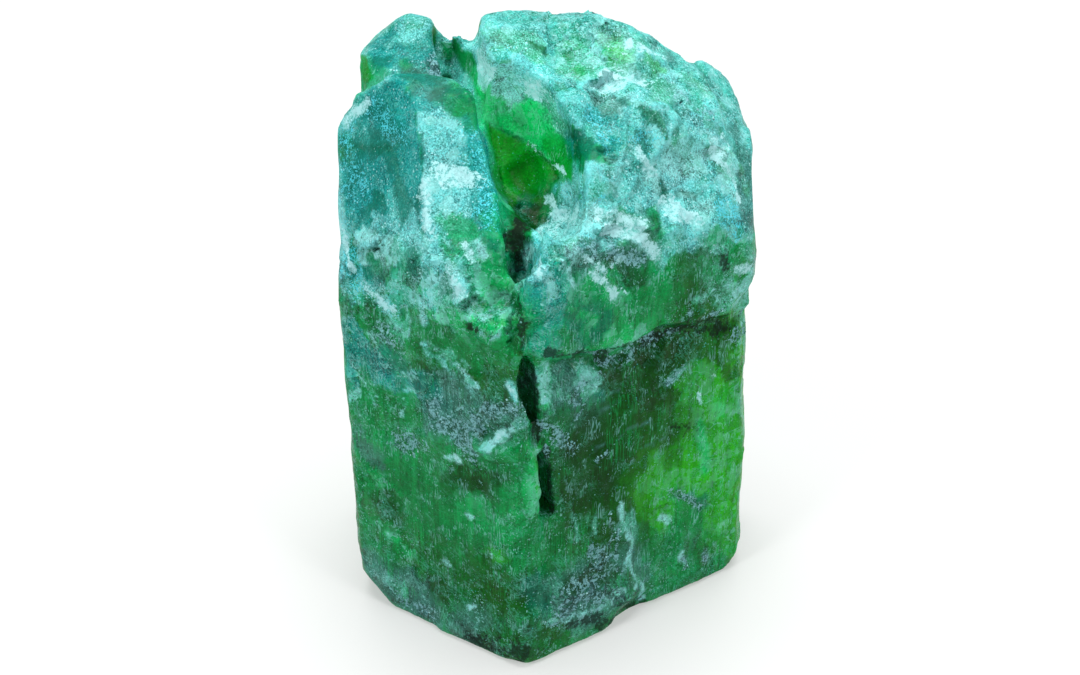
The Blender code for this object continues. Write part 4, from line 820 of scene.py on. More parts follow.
# How panes fade, in mm: across their outline and off their plane. Points within one are drawn onto
# its plane, where the stone faces much the same way.
flat = {
    "outline": (-0.12, 0.1), "off": (2.2, 3.4), "turned": (-0.2, 0.1),
    "share": 0.8, "facing": 0.86, "drawn": (0.4, 0.9), "nearby": 1.0,
}


# How far each point lies within a pane's outline, and the way the pane faces.
def paneCover(places, normals, corners):
    corners = np.array(corners, float)
    middle = corners.mean(0)
    nearby = [((places - spot) ** 2).sum(1) < flat["nearby"] ** 2 for spot in (*corners, middle)]
    facing = sum(normals[near].sum(0) for near in nearby)
    facing = facing / np.linalg.norm(facing)
    across = np.cross(facing, (0, 0.3, 1))
    across = across / np.linalg.norm(across)
    axes = np.array([across, np.cross(facing, across), facing])
    u, v, off = ((places - middle) @ axes.T).T
    outline = (corners - middle) @ axes.T
    inside = np.zeros(len(places), bool)
    gap = np.full(len(places), 1e9)
    for start, end in zip(outline, np.roll(outline, -1, 0)):
        run = (end - start)[:2]
        share = ((u - start[0]) * run[0] + (v - start[1]) * run[1]) / (run @ run)
        share = np.clip(share, 0, 1)
        gap = np.minimum(gap, np.hypot(u - start[0] - share * run[0], v - start[1] - share * run[1]))
        if run[1] != 0:
            crosses = (start[1] > v) != (end[1] > v)
            inside ^= crosses & (u < start[0] + run[0] * (v - start[1]) / run[1])
    depth = np.where(inside, gap, -gap)
    cover = smoothStep(depth, *flat["outline"]) * (1 - smoothStep(np.abs(off), *flat["off"]))
    return cover * smoothStep(normals @ facing, *flat["turned"]), facing


def flattenPanes(mesh):
    places, normals = pointArrays(mesh)
    for _, *corners in panes:
        cover, facing = paneCover(places, normals, corners)
        corners = np.array(corners, float)
        middle = corners.mean(0)
        straight = np.linalg.svd(corners - middle)[2][2]
        if abs(straight @ facing) > flat["facing"]:
            off = (places - middle) @ straight
            fade = 1 - smoothStep(np.abs(off), *flat["drawn"])
            places -= (off * fade * cover * flat["share"])[:, None] * straight
    mesh.vertices.foreach_set("co", (places * mm).ravel())
    mesh.update()


# How much of each tone lies at each place: blended in, laid over, and the strongest of its marks.
def layMarks(places, drift):
    large = cellMiddles(places + drift * mosaic["largeDrift"], mosaic["large"], 2.0)
    small = cellMiddles(places + drift * mosaic["smallDrift"], mosaic["small"], 6.0)
    loose = places + (small - places) * mosaic["smallShare"]
    spots = loose + (large - places) * mosaic["largeShare"]
    blended, over, strongest = {}, {}, {}
    for tone, lines in marks.items():
        for kept in (blended, over, strongest):
            kept[tone] = np.zeros(len(places))
        for wide, *line in lines:
            shift = drift * (ragged["least"] + ragged["share"] * min(wide, ragged["widest"]))
            start = spots if wide > mosaic["from"] else loose
            turned, far = bothSides(start)
            near = reachFrom(start + shift, line) / wide
            back = reachFrom(turned + shift, line) / wide
            reach = np.minimum(near + spread["beyond"] * far, back + spread["beyond"] * (1 - far))
            if wide > mosaic["over"]:
                fade = np.exp(-((reach / spread["blended"]) ** 2))
                blended[tone] += fade * spread["weight"] / wide
            else:
                over[tone] = np.maximum(over[tone], 1 - smoothStep(reach, *spread["over"]))
            strongest[tone] = np.maximum(strongest[tone], 1 - smoothStep(reach, *spread["dust"]))
    return blended, over, strongest


# Puts a tone on top of a mix of tones, as far as it covers them.
def layOver(mix, tone, share):
    for name in mix:
        mix[name] = mix[name] * (1 - share) + (share if name == tone else 0)


def layTones(mesh):
    places, normals = pointArrays(mesh)
    noise.seed_set(ragged["seed"])
    drift = wander(places, ragged["coarse"], 3.7)
    drift += ragged["fineShare"] * wander(places, ragged["fine"], 8.1)
    drift += ragged["grainShare"] * wander(places, ragged["grain"], 5.3)
    blended, over, strongest = layMarks(places, drift)
    upper = smoothStep(normals[:, 2], *spread["topLean"]) * smoothStep(places[:, 2], *spread["topZ"])
    mix = {tone: blended.get(tone, 0) if tone in broadTones else 0 for tone in (*frosty, *broadTones)}
    mix["aqua"] = mix["aqua"] + upper * spread["topGround"]
    mix["leaf"] = mix["leaf"] + spread["ground"]
    total = sum(mix.values())
    mix = {tone: share / total for tone, share in mix.items()}
    paned = np.zeros(len(places))
    for tone, *corners in panes:
        share = paneCover(places + drift * ragged["panes"], normals, corners)[0]
        paned = np.maximum(paned, share)
        layOver(mix, tone, share * spread["paneShare"])
    for tone, share in over.items():
        if tone in broadTones:
            layOver(mix, tone, share * spread["overShare"])
        else:
            keep(mesh, tone, strongest[tone])
    colour = sum(np.outer(share, linear(tone)) for tone, share in mix.items())
    colour = np.column_stack([colour, np.ones(len(colour))]).astype(np.float32)
    mesh.attributes.new("tint", "FLOAT_COLOR", "POINT").data.foreach_set("color", colour.ravel())
    keep(mesh, "frost", sum(mix[tone] * share for tone, share in frosty.items()))
    keep(mesh, "clear", sum(mix[tone] for tone in clearTones))
    keep(mesh, "pane", paned)
    keep(mesh, "top", upper)
    keepParts(mesh, places, normals)


# The parts of the stone that the material treats in their own way, in mm.
parts = {
    "valley": [(-1.5, -9, 42), (-1.5, -3, 43), (-4.5, 3, 46)],  # the line it runs along
    "inValley": (3.0, 5.5), "byValley": (4.5, 6.5),
    "thumbX": (-4.4, -3.0), "thumbY": (0.5, 2.5), "thumbZ": (35, 38),
    "rearX": (-9.5, -8.0), "rearY": (1.0, 2.5), "rearZ": (42, 44),
    "rightX": (4, 6), "rightZ": (32, 36), "rightShare": 0.75,
    "upright": (0.2, 0.45),
}


def keepParts(mesh, places, normals):
    x, y, z = places.T
    thumb = (1 - smoothStep(x, *parts["thumbX"])) * smoothStep(z, *parts["thumbZ"])
    thumb = thumb * (1 - smoothStep(y, *parts["thumbY"]))
    rear = (1 - smoothStep(x, *parts["rearX"])) * smoothStep(y, *parts["rearY"])
    rear = rear * smoothStep(z, *parts["rearZ"])
    right = parts["rightShare"] * smoothStep(x, *parts["rightX"]) * smoothStep(z, *parts["rightZ"])
    reach = reachFrom(places, parts["valley"])
    byValley = 1 - smoothStep(reach, *parts["byValley"])
    keep(mesh, "hollow", 1 - smoothStep(reach, *parts["inValley"]))
    keep(mesh, "calm", np.maximum.reduce([thumb, rear, right, byValley]))
    keep(mesh, "prism", 1 - smoothStep(np.abs(normals[:, 2]), *parts["upright"]))


edgeAndDentDepth = {"rounds": 6, "from": 0.03, "to": 0.16}  # mm that an edge stands out or a dent lies in


# Keeps how far each edge stands out and each dent lies in. The material makes the edges paler, partly as
# wear and partly as a painted highlight, and the dents darker, as painted shade.
def markEdgesAndDents(mesh):
    places, normals = pointArrays(mesh)
    out = standing(mesh, places, normals, edgeAndDentDepth["rounds"])
    keep(mesh, "edge", smoothStep(out, edgeAndDentDepth["from"], edgeAndDentDepth["to"]))
    keep(mesh, "dent", smoothStep(-out, edgeAndDentDepth["from"], edgeAndDentDepth["to"]))


# Relief that is raised on the skin, in mm. Cells are flat broken patches with steps between.
relief = {
    "big cell": 3.8, "big lean": 0.2, "big step": 0.14,
    "middle cell": 1.6, "middle lean": 0.12, "middle step": 0.04,
    "small cell": 0.8, "small lean": 0.06, "small step": 0.0,
    "rib width": 0.5, "rib length": 18.0, "rib height": 0.02,
}


def newGeometryTree(name, sizes):
    made = bpy.data.node_groups.new(name, "GeometryNodeTree")
    made.interface.new_socket("Geometry", in_out="INPUT", socket_type="NodeSocketGeometry")
    made.interface.new_socket("Geometry", in_out="OUTPUT", socket_type="NodeSocketGeometry")
    for size in sizes:
        made.interface.new_socket(size, in_out="INPUT", socket_type="NodeSocketFloat")
    tree = Tree(made)
    tree.start = tree.node("NodeGroupInput")
    return tree


# Ends the tree with plain geometry and its material, and makes the piece's mesh from it.
def runTree(piece, tree, result, sizes, material):
    whole = tree.node("GeometryNodeRealizeInstances", None, {"Geometry": result})
    coated = tree.node("GeometryNodeSetMaterial", None, {"Geometry": whole, "Material": material})
    tree.node("NodeGroupOutput", None, {0: coated})
    made = piece.modifiers.new(tree.made.name, "NODES")
    made.node_group = tree.made
    for item in tree.made.interface.items_tree:
        if item.in_out == "INPUT" and item.name in sizes:
            made[item.identifier] = float(sizes[item.name])
    return applied(piece, piece.name)


def facets(tree, place, cell, lean, step, shift):
    spot = place / cell + shift
    cells = tree.cells(spot, 1)
    middle, tint = cells.other("Position"), cells.other("Color")
    tilted = tree.dot(spot - middle, tint - 0.5) * cell * lean * 2
    return tilted + (tree.dot(tint, (1, 1, 1)) / 3 - 0.5) * step * 2


def attribute(tree, name):
    kind = {"data_type": "FLOAT"}
    return tree.node("GeometryNodeInputNamedAttribute", kind, {"Name": name})


def raiseRelief(piece, material):
    tree = newGeometryTree("stone relief", relief)
    size = {name: tree.start.other(name) for name in relief}
    place = tree.node("GeometryNodeInputPosition") / mm
    normal = tree.node("GeometryNodeInputNormal")
    bent = place + (tree.cloud(place, 2.2, 3.0, 0.5, "Color") - 0.5) * 0.9
    calm, top = attribute(tree, "calm"), attribute(tree, "top")
    prism, pane = attribute(tree, "prism"), attribute(tree, "pane")
    broken = tree.rise(tree.cloud(place + 7.0, 6.0, 2.0), 0.42, 0.6)
    lively = (0.14 + 0.86 * tree.rise(top + broken * 0.5, 0.2, 0.9)) * (1 - 0.85 * calm) * (1 - 0.7 * pane)
    big, middle, small = [
        facets(tree, bent, size[name + " cell"], size[name + " lean"], size[name + " step"], shift)
        for name, shift in (("big", 0.3), ("middle", 4.1), ("small", 9.2))
    ]
    ribSize = {0: size["rib width"], 1: size["rib width"], 2: size["rib length"]}
    ribs = tree.cloud(place / tree.node("ShaderNodeCombineXYZ", None, ribSize), 1, 3.0)
    ribbed = (ribs - 0.5) * 2 * size["rib height"] * prism * (1 - calm)
    height = (big * (1 - prism * 0.7) + middle + small) * lively + ribbed
    steady = tree.rise(tree.dot(place, (0, 0, 1)), 0.05, 1.2)  # the flat base stays flat
    moved = tree.node("GeometryNodeSetPosition", None, {
        "Geometry": tree.start.other("Geometry"),
        "Offset": normal * (height * steady * mm),
    })
    runTree(piece, tree, keepWaves(tree, moved, place), relief, material)


bend = 1.2  # how far the swirl bends the stone's pattern, in mm


# The slow waves of the material's pattern are kept on the stone's points.
def keepWaves(tree, geometry, place):
    swirl = tree.cloud(place, 2.4, 3.0, 0.55, "Color") - 0.5
    bent = place + swirl * bend
    waves = {
        "broad": tree.cloud(place + 3.0, 7.0, 3.0, 0.5),
        "depth": tree.cloud(bent + 13.0, 2.6, 2.5, 0.5) - 0.5,
        "clump": tree.cloud(bent + 19.0, 1.8, 3.0, 0.6),
        "swirl": swirl,
    }
    for name, wave in waves.items():
        kind = {"data_type": "FLOAT_VECTOR" if wave is swirl else "FLOAT"}
        inputs = {"Geometry": geometry, "Name": name, "Value": wave}
        geometry = tree.node("GeometryNodeStoreNamedAttribute", kind, inputs)
    return geometry


# Small crystals that lie thickly on the crusted and the frosted parts.
crust = {
    "grains per mm2": 11.0, "smallest": 0.03, "largest": 0.12,  # radius in mm
}


def crustGrains(stonePiece):
    piece = bpy.data.objects.new("crust_grains", stonePiece.data.copy())
    bpy.context.scene.collection.objects.link(piece)
    tree = newGeometryTree("crust", crust)
    size = {name: tree.start.other(name) for name in crust}
    place = tree.node("GeometryNodeInputPosition") / mm
    white = attribute(tree, "white")
    clump = tree.rise(tree.cloud(place + 4.0, 0.7, 4.0, 0.6), 0.46, 0.6)
    covered = tree.rise(attribute(tree, "lilac") + white * 0.25, 0.15, 0.9)
    many = clump * covered * size["grains per mm2"] * 1e6
    points = tree.node("GeometryNodeDistributePointsOnFaces", None, {
        "Mesh": tree.start.other("Geometry"), "Density": many, "Seed": 4,
    })
    ball = tree.node("GeometryNodeMeshIcoSphere", None, {"Radius": 1.0, "Subdivisions": 1})
    kind = {"data_type": "FLOAT_VECTOR"}
    grown = tree.node("FunctionNodeRandomValue", kind, {0: (0, 0, 0), 1: (1, 1, 1), "Seed": 2})
    small, large = size["smallest"] * mm, size["largest"] * mm
    fullTurn = (math.tau, math.tau, math.tau)
    placed = tree.node("GeometryNodeInstanceOnPoints", None, {
        "Points": points, "Instance": ball, "Scale": grown * (large - small) + small,
        "Rotation": tree.node("FunctionNodeRandomValue", kind, {0: (0, 0, 0), 1: fullTurn, "Seed": 7}),
    })
    hue = tree.node("FunctionNodeRandomValue", {"data_type": "FLOAT"}, {2: 0.0, 3: 1.0, "Seed": 9}, 1)
    kind = {"data_type": "FLOAT", "domain": "INSTANCE"}
    inputs = {"Geometry": placed, "Name": "pale", "Value": tree.most(hue, white)}
    named = tree.node("GeometryNodeStoreNamedAttribute", kind, inputs)
    runTree(piece, tree, named, crust, crustMaterial())
    return piece


stone = {
    "ior": 1.5,
    "shine": 0.01,
    "see-through": 0.2,
    "painted inner glow": 0.24,  # how brightly the valley glows by emission: painted light in place of light passing through the stone
    "absorbs": (0.05, 0.8, 0.32),
    "density": 400.0,  # per metre
}

# How strongly each layer of the stone's colour shows where it lies.
strength = {
    "mist": 0.6, "cleft": 0.5, "slivers": 0.5, "green": 0.5, "pale chips": 0.6, "dark chips": 0.6,
    "seams": 0.6, "rims": 0.4, "pale splinters": 0.55, "dark splinters": 0.5, "dusting": 0.55,
    "painted_glints": 0.75, "specks": 0.6, "arcs": 0.8, "haze": 0.14, "scratches": 0.35, "fibres": 0.4,
    "growth lines": 0.32, "cyan": 0.8, "worn and lit edges": 0.3, "painted dent shade": 0.4, "powder": 0.5,
    "white": 0.75, "grime": 0.8, "under crust": 0.3, "crust": 0.75, "crumbs": 0.5, "pits": 0.6,
}


def newShader(name):
    made = bpy.data.materials.new(name)
    made.use_nodes = True
    made.node_tree.nodes.clear()
    return made, Tree(made.node_tree)


def emeraldMaterial():
    made, tree = newShader("emerald stone")
    made.cycles.emission_sampling = "NONE"
    mark, most, rise, cloud, cells = tree.mark, tree.most, tree.rise, tree.cloud, tree.cells
    place = tree.node("ShaderNodeTexCoord", output="Object") / mm

    # thin lines drawn out along one way, as scratches and growth lines are
    def threads(angle, axis, width, length, thin, seed):
        inputs = {"Vector": place + seed, "Axis": axis, "Angle": angle}
        turned = tree.node("ShaderNodeVectorRotate", {"rotation_type": "AXIS_ANGLE"}, inputs)
        return tree.ridge(cloud(turned * (1 / width, 1 / width, 1 / length), 1.0, 2.0, 0.5), thin)

    # small splinters that lie the way of their own broken face
    def shards(turn, length, width, share, seed):
        found = cells((turn + seed) * (1 / width, 1 / length, 1 / width), 1)
        pick = tree.chance(found, 0) + (clump - 0.5) * 1.4
        return rise(found, 0.42, 0.24) * rise(pick, share, share + 0.08)

    frost, clear, pane = mark("frost"), mark("clear"), mark("pane")
    prism, hollow, quiet = mark("prism"), mark("hollow"), mark("calm")
    broad, depth, clump = mark("broad"), mark("depth"), mark("clump")
    calm, upper = most(quiet, mark("smooth")), mark("top")
    swirl = mark("swirl", "Vector")
    bent, straight = place + swirl * bend, place + swirl * 0.5
    mottle = cloud(bent, 1.3, 4.5, 0.62)
    fine = cloud(place + 11.0, 0.36, 3.0, 0.6)
    sugar = cloud(place, 0.13, 2.0, 0.6)

    # flat patches of three sizes and the finest grains, each with its own shade and lean: the shades and
    # leans paint light and shade onto the broken faces, and the leans also give their bump
    plates, faces = cells(straight, 3.0), cells(straight + 5.0, 1.3)
    chips, grains = cells(straight + 8.0, 0.6), cells(place, 0.24)
    plate, face = tree.chance(plates, 0) - 0.5, tree.chance(faces, 1) - 0.5
    chip, grain = tree.chance(chips, 2) - 0.5, tree.chance(grains, 0) - 0.5
    plateSlope, faceSlope = tree.leaning(straight, plates), tree.leaning(straight + 5.0, faces)
    chipSlope = tree.leaning(straight + 8.0, chips)

    # each broken face has streaks that run its own way
    inputs = {"Vector": place, "Rotation": faces.other("Color") * 3.0}
    turned = tree.node("ShaderNodeVectorRotate", {"rotation_type": "EULER_XYZ"}, inputs)
    streaks = cloud(turned * (5.0, 0.5, 1.2), 1.0, 3.0, 0.6) - 0.5
    lines = cloud(place * (2.8, 2.8, 0.12), 1.0, 3.0, 0.6) - 0.5
    broken = (1 - 0.5 * calm) * (1 - 0.5 * pane)
    still = 1 - 0.6 * most(calm, clear)
    lively = 1 - calm * (1 - frost)
    # patches give each broken face its own tone, partly painted light as each face catches it its own way;
    # slopeShade paints light and shade across each face as if it curved
    patches = plate * 0.5 * broken + face * 0.4 * broken + chip * 0.2 * (1 - 0.4 * calm)
    slopeShade = plateSlope * 0.5 * broken + faceSlope * 0.6 * broken + chipSlope * 0.6
    speckle = (mottle - 0.5) * 0.3 + (fine - 0.5) * 0.7 + (sugar - 0.5) * 2.2 + streaks * 1.1
    speckle = speckle + (sugar - 0.5) * rise(frost, 0.05, 0.3) * 3.0
    shade = 1.0 + depth * (0.6 + 0.4 * frost) + (patches * 0.7 + slopeShade) * (0.4 + 0.6 * frost)
    shade = shade + speckle * (0.15 + 0.25 * still + 0.4 * frost) + (sugar - 0.5) * (1 - frost) * 1.1
    shade = shade + lines * 1.4 * prism * (1 - quiet)
    colour = tree.maths("MULTIPLY", mark("tint", "Color"), most(shade, 0.2))

    # grains that lie thinner towards the rim of their mark
    loose = (mottle - 0.5) * 1.6 + (fine - 0.5) * 1.4 + grain * 0.7 + (sugar - 0.5) * 1.6

    def crumbly(name, full, soft):
        return rise(mark(name) * full + loose, 0.5, 0.5 + soft) * rise(mark(name), 0.0, 0.15)

    # paler and whiter faces where the stone is frosted or cleft, with painted light and shade from the
    # slopes of the broken faces
    veil = rise(frost + patches * 1.1 + slopeShade * 0.8 + depth * 0.8 + streaks * 0.6, 0.6, 1.5)
    cleft = rise(face + faceSlope * 0.6 + streaks * 0.9 + depth, 0.28, 0.5)
    cleft = cleft * rise(frost + clear * 0.3, 0.3, 0.9)
    slivers = rise(chip + chipSlope + depth * 1.2 + streaks * 0.6, 0.42, 0.52)
    slivers = slivers * rise(frost + clear * 0.3, 0.2, 0.8) * lively
    green = rise(face + (broad - 0.5) + depth * 0.5, -0.34, -0.46) * frost

    # the shattered parts break into ragged chips, some pale and some clear green
    torn = place + (cloud(place + 27.0, 0.5, 2.0, 0.5, "Color") - 0.5) * 0.6
    large, small = tree.chance(cells(torn + 2.0, 1.1), 2), tree.chance(cells(torn + 6.0, 0.45), 1)
    shatter = rise(frost + clear * 0.6, 0.2, 0.8) * (1 - calm * 0.7) * (1 - 0.35 * upper)
    paleChips = most(rise(large + depth * 0.7, 0.74, 0.78), rise(small + depth, 0.8, 0.84))
    darkChips = most(rise(large + depth * 0.7, 0.26, 0.22), rise(small + depth, 0.2, 0.16))
    inner = tree.blend(rise(broad, 0.4, 0.6), linear("emerald"), linear("pine"))

    # bright cracks and rims of broken faces
    seams = tree.ridge(cloud(place + swirl * 2.0 + 9.0, 2.2, 1.5, 0.4), 0.012)
    seams = seams * rise(mottle, 0.46, 0.56) * rise(frost + clear * 0.5, 0.0, 0.8) * (1 - hollow)
    rims = rise(cells(straight + 5.0, 1.3, 1.0, "DISTANCE_TO_EDGE"), 0.05, 0.0)
    rims = rims * rise(depth + (fine - 0.5) * 0.5, 0.0, 0.1)
    rims = rims * (0.075 + rise(frost + clear * 0.2, 0.1, 0.8))

    # splinters, and painted glints: the finest white sparkle on the frosted grains
    turn = turned + swirl * 0.4
    pale = most(shards(turn, 0.55, 0.16, 0.98, 0.0), shards(turn, 0.26, 0.12, 0.96, 7.0))
    pale = pale * (1 + 0.364 * frost) * (1 - 0.85 * calm * (1 - frost))
    dark = shards(turn, 0.6, 0.2, 0.86, 13.0)
    dusting = rise(sugar + (fine - 0.5) * 0.7 + (mottle - 0.5) * 0.4, 0.58, 0.66) * rise(frost, 0.1, 0.6)
    painted_glints = rise(grains - grain * 0.3, 0.24, 0.06) * rise(frost, 0.1, 0.4)
    painted_glints = painted_glints * rise(grain + (mottle - 0.5) * 2.4 + (broad - 0.5), 0.2, 0.4)

    # fine specks and short upright ticks on the clear faces
    pick = tree.chance(grains, 1) + (mottle - 0.5) * 0.5
    specks = rise(grains, 0.3, 0.12) * rise(pick, 0.88, 0.92) * (1 - frost) * (1 - hollow)
    ticks = threads(0.1, (1, 0, 0), 0.22, 2.4, 0.05, 11.0) * prism * (1 - frost)
    ticks = ticks * rise(cloud(place + 33.0, 1.6, 4.0, 0.65), 0.54, 0.58)

    # short bright arcs where the stone has flaked
    arcs = most(tree.ridge(cloud(bent + 31.0, 1.5, 2.0, 0.45), 0.024),
                tree.ridge(cloud(bent + 41.0, 0.6, 1.0, 0.4), 0.05))
    arcs = arcs * rise(cloud(place + 37.0, 1.0, 4.0, 0.7), 0.57, 0.61)
    arcs = arcs * lively * (1 - hollow) * (1 - 0.6 * clear) * rise(frost + clear * 0.4 + 0.45, 0.1, 0.9)

    # haze, scratches, slanting fibres and upright growth lines on the sides
    haze = rise(depth + (broad - 0.5) * 0.6 + (mottle - 0.5) * 0.5, 0.0, 0.5) * (1 - frost) * still
    scratches = most(threads(0.9, (0.4, 0.9, 0.2), 0.4, 14.0, 0.03, 2.0),
                     threads(-0.6, (0.9, 0.3, 0.1), 0.5, 16.0, 0.03, 9.0))
    scratches = scratches * (1 - hollow) * rise(cloud(place + 17.0, 2.0, 2.0), 0.56, 0.64)
    fibres = most(threads(0.7, (0, 1, 0), 0.3, 9.0, 0.05, 3.0),
                  threads(1.25, (0, 1, 0), 0.3, 7.0, 0.05, 6.0))
    fibres = fibres * (1 - calm) * rise(cloud(place + 29.0, 1.4, 3.0), 0.5, 0.56)
    fibreTone = tree.blend(rise(frost, 0.0, 0.3), linear("mint"), linear("frosting"))
    growth = threads(0.0, (0, 0, 1), 0.25, 8.0, 0.05, 5.0) * prism * (1 - quiet)
    growth = growth * rise(cloud(place + 23.0, 3.0, 2.0), 0.5, 0.6)

    # what lies on the stone: glitter, pale edges that are partly wear and partly painted highlight,
    # painted shade in dents, powder, grime with painted shade in cracks, and crust
    cyan = rise(mark("cyan") + grain * 0.8 + (sugar - 0.5) * 3.6 + (mottle - 0.5) * 1.4, 0.9, 1.3)
    # paler convex edges: partly wear, partly a painted highlight for the light that rims the stone's edges
    edge = mark("edge") * rise(fine + (mottle - 0.5), 0.36, 0.6) * (1 + frost)
    worn = tree.blend(rise(frost, 0.1, 0.5), linear("bright"), linear("ice"))
    powder = rise(mark("white") * 1.5 + loose * 0.5 + depth, 0.45, 1.2)
    grime, lilac = crumbly("grime", 1.2, 0.5), crumbly("lilac", 0.75, 0.3)
    under = rise(mark("lilac") + (mottle - 0.5) * 1.2, 0.3, 0.9)
    crumb = tree.blend(rise(sugar + streaks + grain * 0.4, 0.3, 0.7), linear("dusk"), linear("lilac"))
    dots = cells(place + swirl * 0.3, 0.4)
    pick = tree.chance(dots, 2) + (mottle - 0.5) * 1.2
    size = 0.1 + 0.14 * tree.chance(dots, 1)
    crumbs = rise(dots - size, 0.06, -0.02) * rise(pick, 0.9, 0.96) * (1 - calm)
    pits = rise(dots, 0.34, 0.16) * rise(pick, 0.14, 0.06) * (1 - calm)

    layers = (
        ("mist", veil * (1 - 0.5 * upper), "mist"),
        ("cleft", cleft, "frosting"),
        ("slivers", slivers, "frosting"),
        ("green", green * (1 - 0.5 * upper), "emerald"),
        ("pale chips", paleChips * shatter, "frosting"),
        ("dark chips", darkChips * shatter, inner),
        ("seams", seams, "frosting"),
        ("rims", rims, "frosting"),
        ("pale splinters", pale, "frosting"),
        ("dark splinters", dark * (1 - 0.6 * frost), "deep"),
        ("dusting", dusting, "frosting"),
        ("painted_glints", painted_glints, "white"),
        ("specks", most(specks, ticks * 0.667), "frosting"),
        ("arcs", arcs, "frosting"),
        ("haze", haze, "bright"),
        ("scratches", scratches, "mint"),
        ("fibres", fibres, fibreTone),
        ("growth lines", growth, "bright"),
        ("cyan", cyan, "cyan"),
        ("worn and lit edges", edge, worn),
        # painted shade: dents darken towards deep green
        ("painted dent shade", mark("dent") * (1 - frost * 0.6), "deep"),
        ("powder", powder, "frosting"),
        ("white", crumbly("white", 1.1, 0.7), "white"),
        ("grime", grime, "grime"),
        ("under crust", under, "grime"),
        ("crust", lilac, crumb),
        ("crumbs", crumbs, "frosting"),
        ("pits", pits, "deep"),
    )
    for name, cover, tone in layers:
        colour = tree.blend(cover * strength[name], colour, linear(tone) if tone in tones else tone)

    rough = 0.22 + 0.15 * most(frost, calm) + 0.2 * (mottle - 0.5) + 0.4 * most(lilac, grime)
    height = faceSlope * 0.5 * broken + chipSlope * (0.1 + 0.2 * frost) * (1 - 0.5 * calm)
    height = height + tree.leaning(place, grains) * (0.03 + 0.4 * frost) + mottle * 0.06 + fine * 0.03
    shader = tree.node("ShaderNodeBsdfPrincipled", None, {
        "Base Color": colour,
        "Roughness": rough,
        "IOR": stone["ior"],
        "Specular IOR Level": stone["shine"],
        "Transmission Weight": stone["see-through"],
        "Normal": tree.node("ShaderNodeBump", None, {"Strength": 1.0, "Distance": mm, "Height": height}),
        # painted glow: the valley emits its own colour, in place of light passing through the stone
        "Emission Color": tree.maths("MULTIPLY", colour, hollow * stone["painted inner glow"]),
        "Emission Strength": 1.0,
    })
    inside = tree.node("ShaderNodeVolumeAbsorption", None, {
        "Color": (*stone["absorbs"], 1),
        "Density": stone["density"],
    })
    tree.node("ShaderNodeOutputMaterial", None, {"Surface": shader, "Volume": inside})
    return made


def crustMaterial():
    made, tree = newShader("pale crust")
    place = tree.node("ShaderNodeTexCoord", output="Object") / mm
    pale = tree.mark("pale")
    colour = tree.blend(tree.rise(pale, 0.0, 0.7), linear("dusk"), linear("lilac"))
    colour = tree.blend(tree.rise(pale, 0.6, 1.0), colour, linear("white"))
    colour = tree.blend(tree.cloud(place, 0.2, 2.0) * 0.7, colour, linear("pine"))
    height = tree.cloud(place, 0.06, 2.0) * 0.02
    shader = tree.node("ShaderNodeBsdfPrincipled", None, {
        "Base Color": colour,
        "Roughness": 0.3 + 0.3 * tree.cloud(place, 0.1, 2.0),
        "IOR": stone["ior"],
        "Specular IOR Level": 0.3,
        "Normal": tree.node("ShaderNodeBump", None, {"Distance": mm, "Height": height}),
    })
    tree.node("ShaderNodeOutputMaterial", None, {"Surface": shader})
    return made


studio = {
    "pitch": 32.0,  # degrees the camera looks down
    "aim": (-0.87, -3.42, 25.0),  # mm
    "away": 157.0,  # mm
    "lens": 63.1,
    "sky": 0.4,
    "floor": (0.42, 0.43, 0.425),
    "floor glow": 0.35,
}

# Soft lamps: where each hangs in metres, how wide it is, and its power.
lamps = {
    "window above": ((0.0, 0.1, 0.6), 0.5, 4.1),
    "window left": ((-0.35, -0.3, 0.4), 0.2, 1.4),
    "window right": ((0.35, -0.3, 0.4), 0.2, 1.0),
}


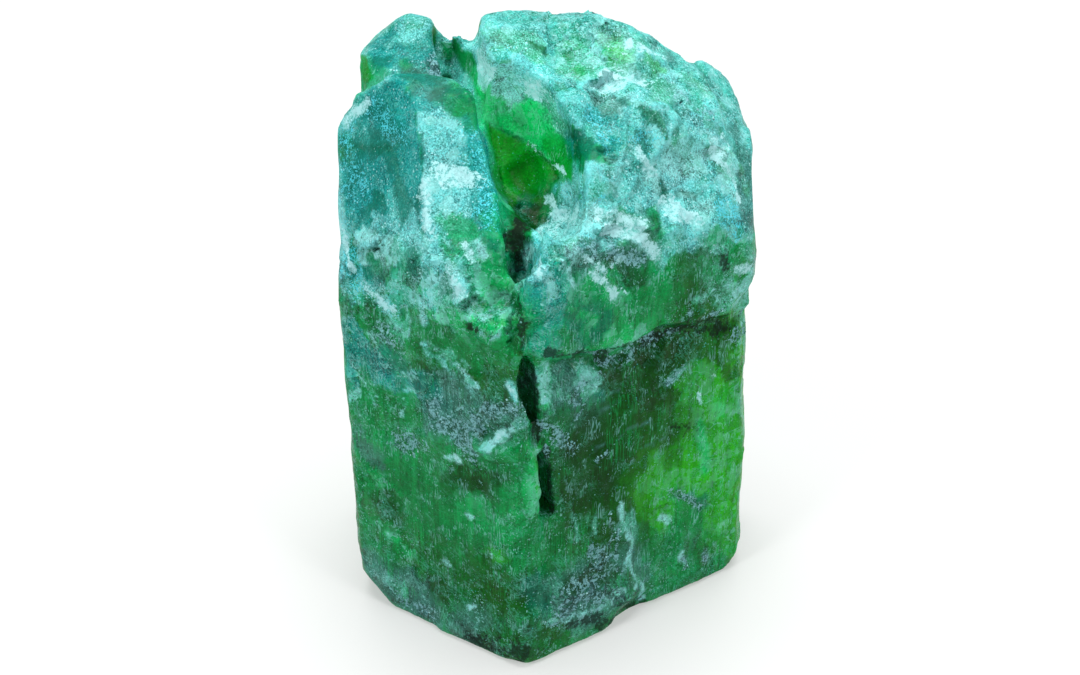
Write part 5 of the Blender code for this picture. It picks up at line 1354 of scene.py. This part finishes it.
def makeFloor():
    bpy.ops.mesh.primitive_plane_add(size=3)
    floor = bpy.context.object
    floor.name = "studio_floor"
    made = bpy.data.materials.new("pale floor")
    made.use_nodes = True
    shader = made.node_tree.nodes["Principled BSDF"]
    shader.inputs["Base Color"].default_value = (*studio["floor"], 1)
    shader.inputs["Roughness"].default_value = 0.8
    shader.inputs["Emission Color"].default_value = (1, 1, 1, 1)
    shader.inputs["Emission Strength"].default_value = studio["floor glow"]
    floor.data.materials.append(made)


def makeCamera():
    pitch = math.radians(studio["pitch"])
    aim = Vector(studio["aim"]) * mm
    lens = bpy.data.cameras.new("camera")
    lens.lens = studio["lens"]
    lens.sensor_width = 36
    lens.clip_start = 0.01
    camera = bpy.data.objects.new("camera", lens)
    camera.location = aim + Vector((0, -math.cos(pitch), math.sin(pitch))) * studio["away"] * mm
    camera.rotation_euler = (math.pi / 2 - pitch, 0, 0)
    bpy.context.scene.collection.objects.link(camera)
    bpy.context.scene.camera = camera


def softLight(name, place, size, power):
    lamp = bpy.data.lights.new(name, "AREA")
    lamp.shape = "DISK"
    lamp.size = size
    lamp.energy = power
    made = bpy.data.objects.new(name, lamp)
    made.location = place
    toward = Vector((0, 0, 0.025)) - made.location
    made.rotation_euler = toward.to_track_quat("-Z", "Y").to_euler()
    bpy.context.scene.collection.objects.link(made)


def makeLight():
    world = bpy.data.worlds.new("soft sky")
    world.use_nodes = True
    back = world.node_tree.nodes["Background"]
    back.inputs["Color"].default_value = (1, 1, 1, 1)
    back.inputs["Strength"].default_value = studio["sky"]
    bpy.context.scene.world = world
    for name, lamp in lamps.items():
        softLight(name, *lamp)
    bpy.context.scene.view_settings.view_transform = "Standard"


emerald = stoneSkin()
print("skin", len(emerald.data.vertices), "points")
flattenPanes(emerald.data)
layTones(emerald.data)
print("tones laid")
raiseRelief(emerald, emeraldMaterial())
markEdgesAndDents(emerald.data)
print("relief raised")
emerald.data.shade_smooth()
emerald.data.set_sharp_from_angle(angle=math.radians(skin["sharpFrom"]))
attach(emerald, "root")
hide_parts("emerald_crystal")
grains = crustGrains(emerald)
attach(grains, "root")
print("crust laid", len(grains.data.polygons), "faces")
makeFloor()
makeCamera()
makeLight()
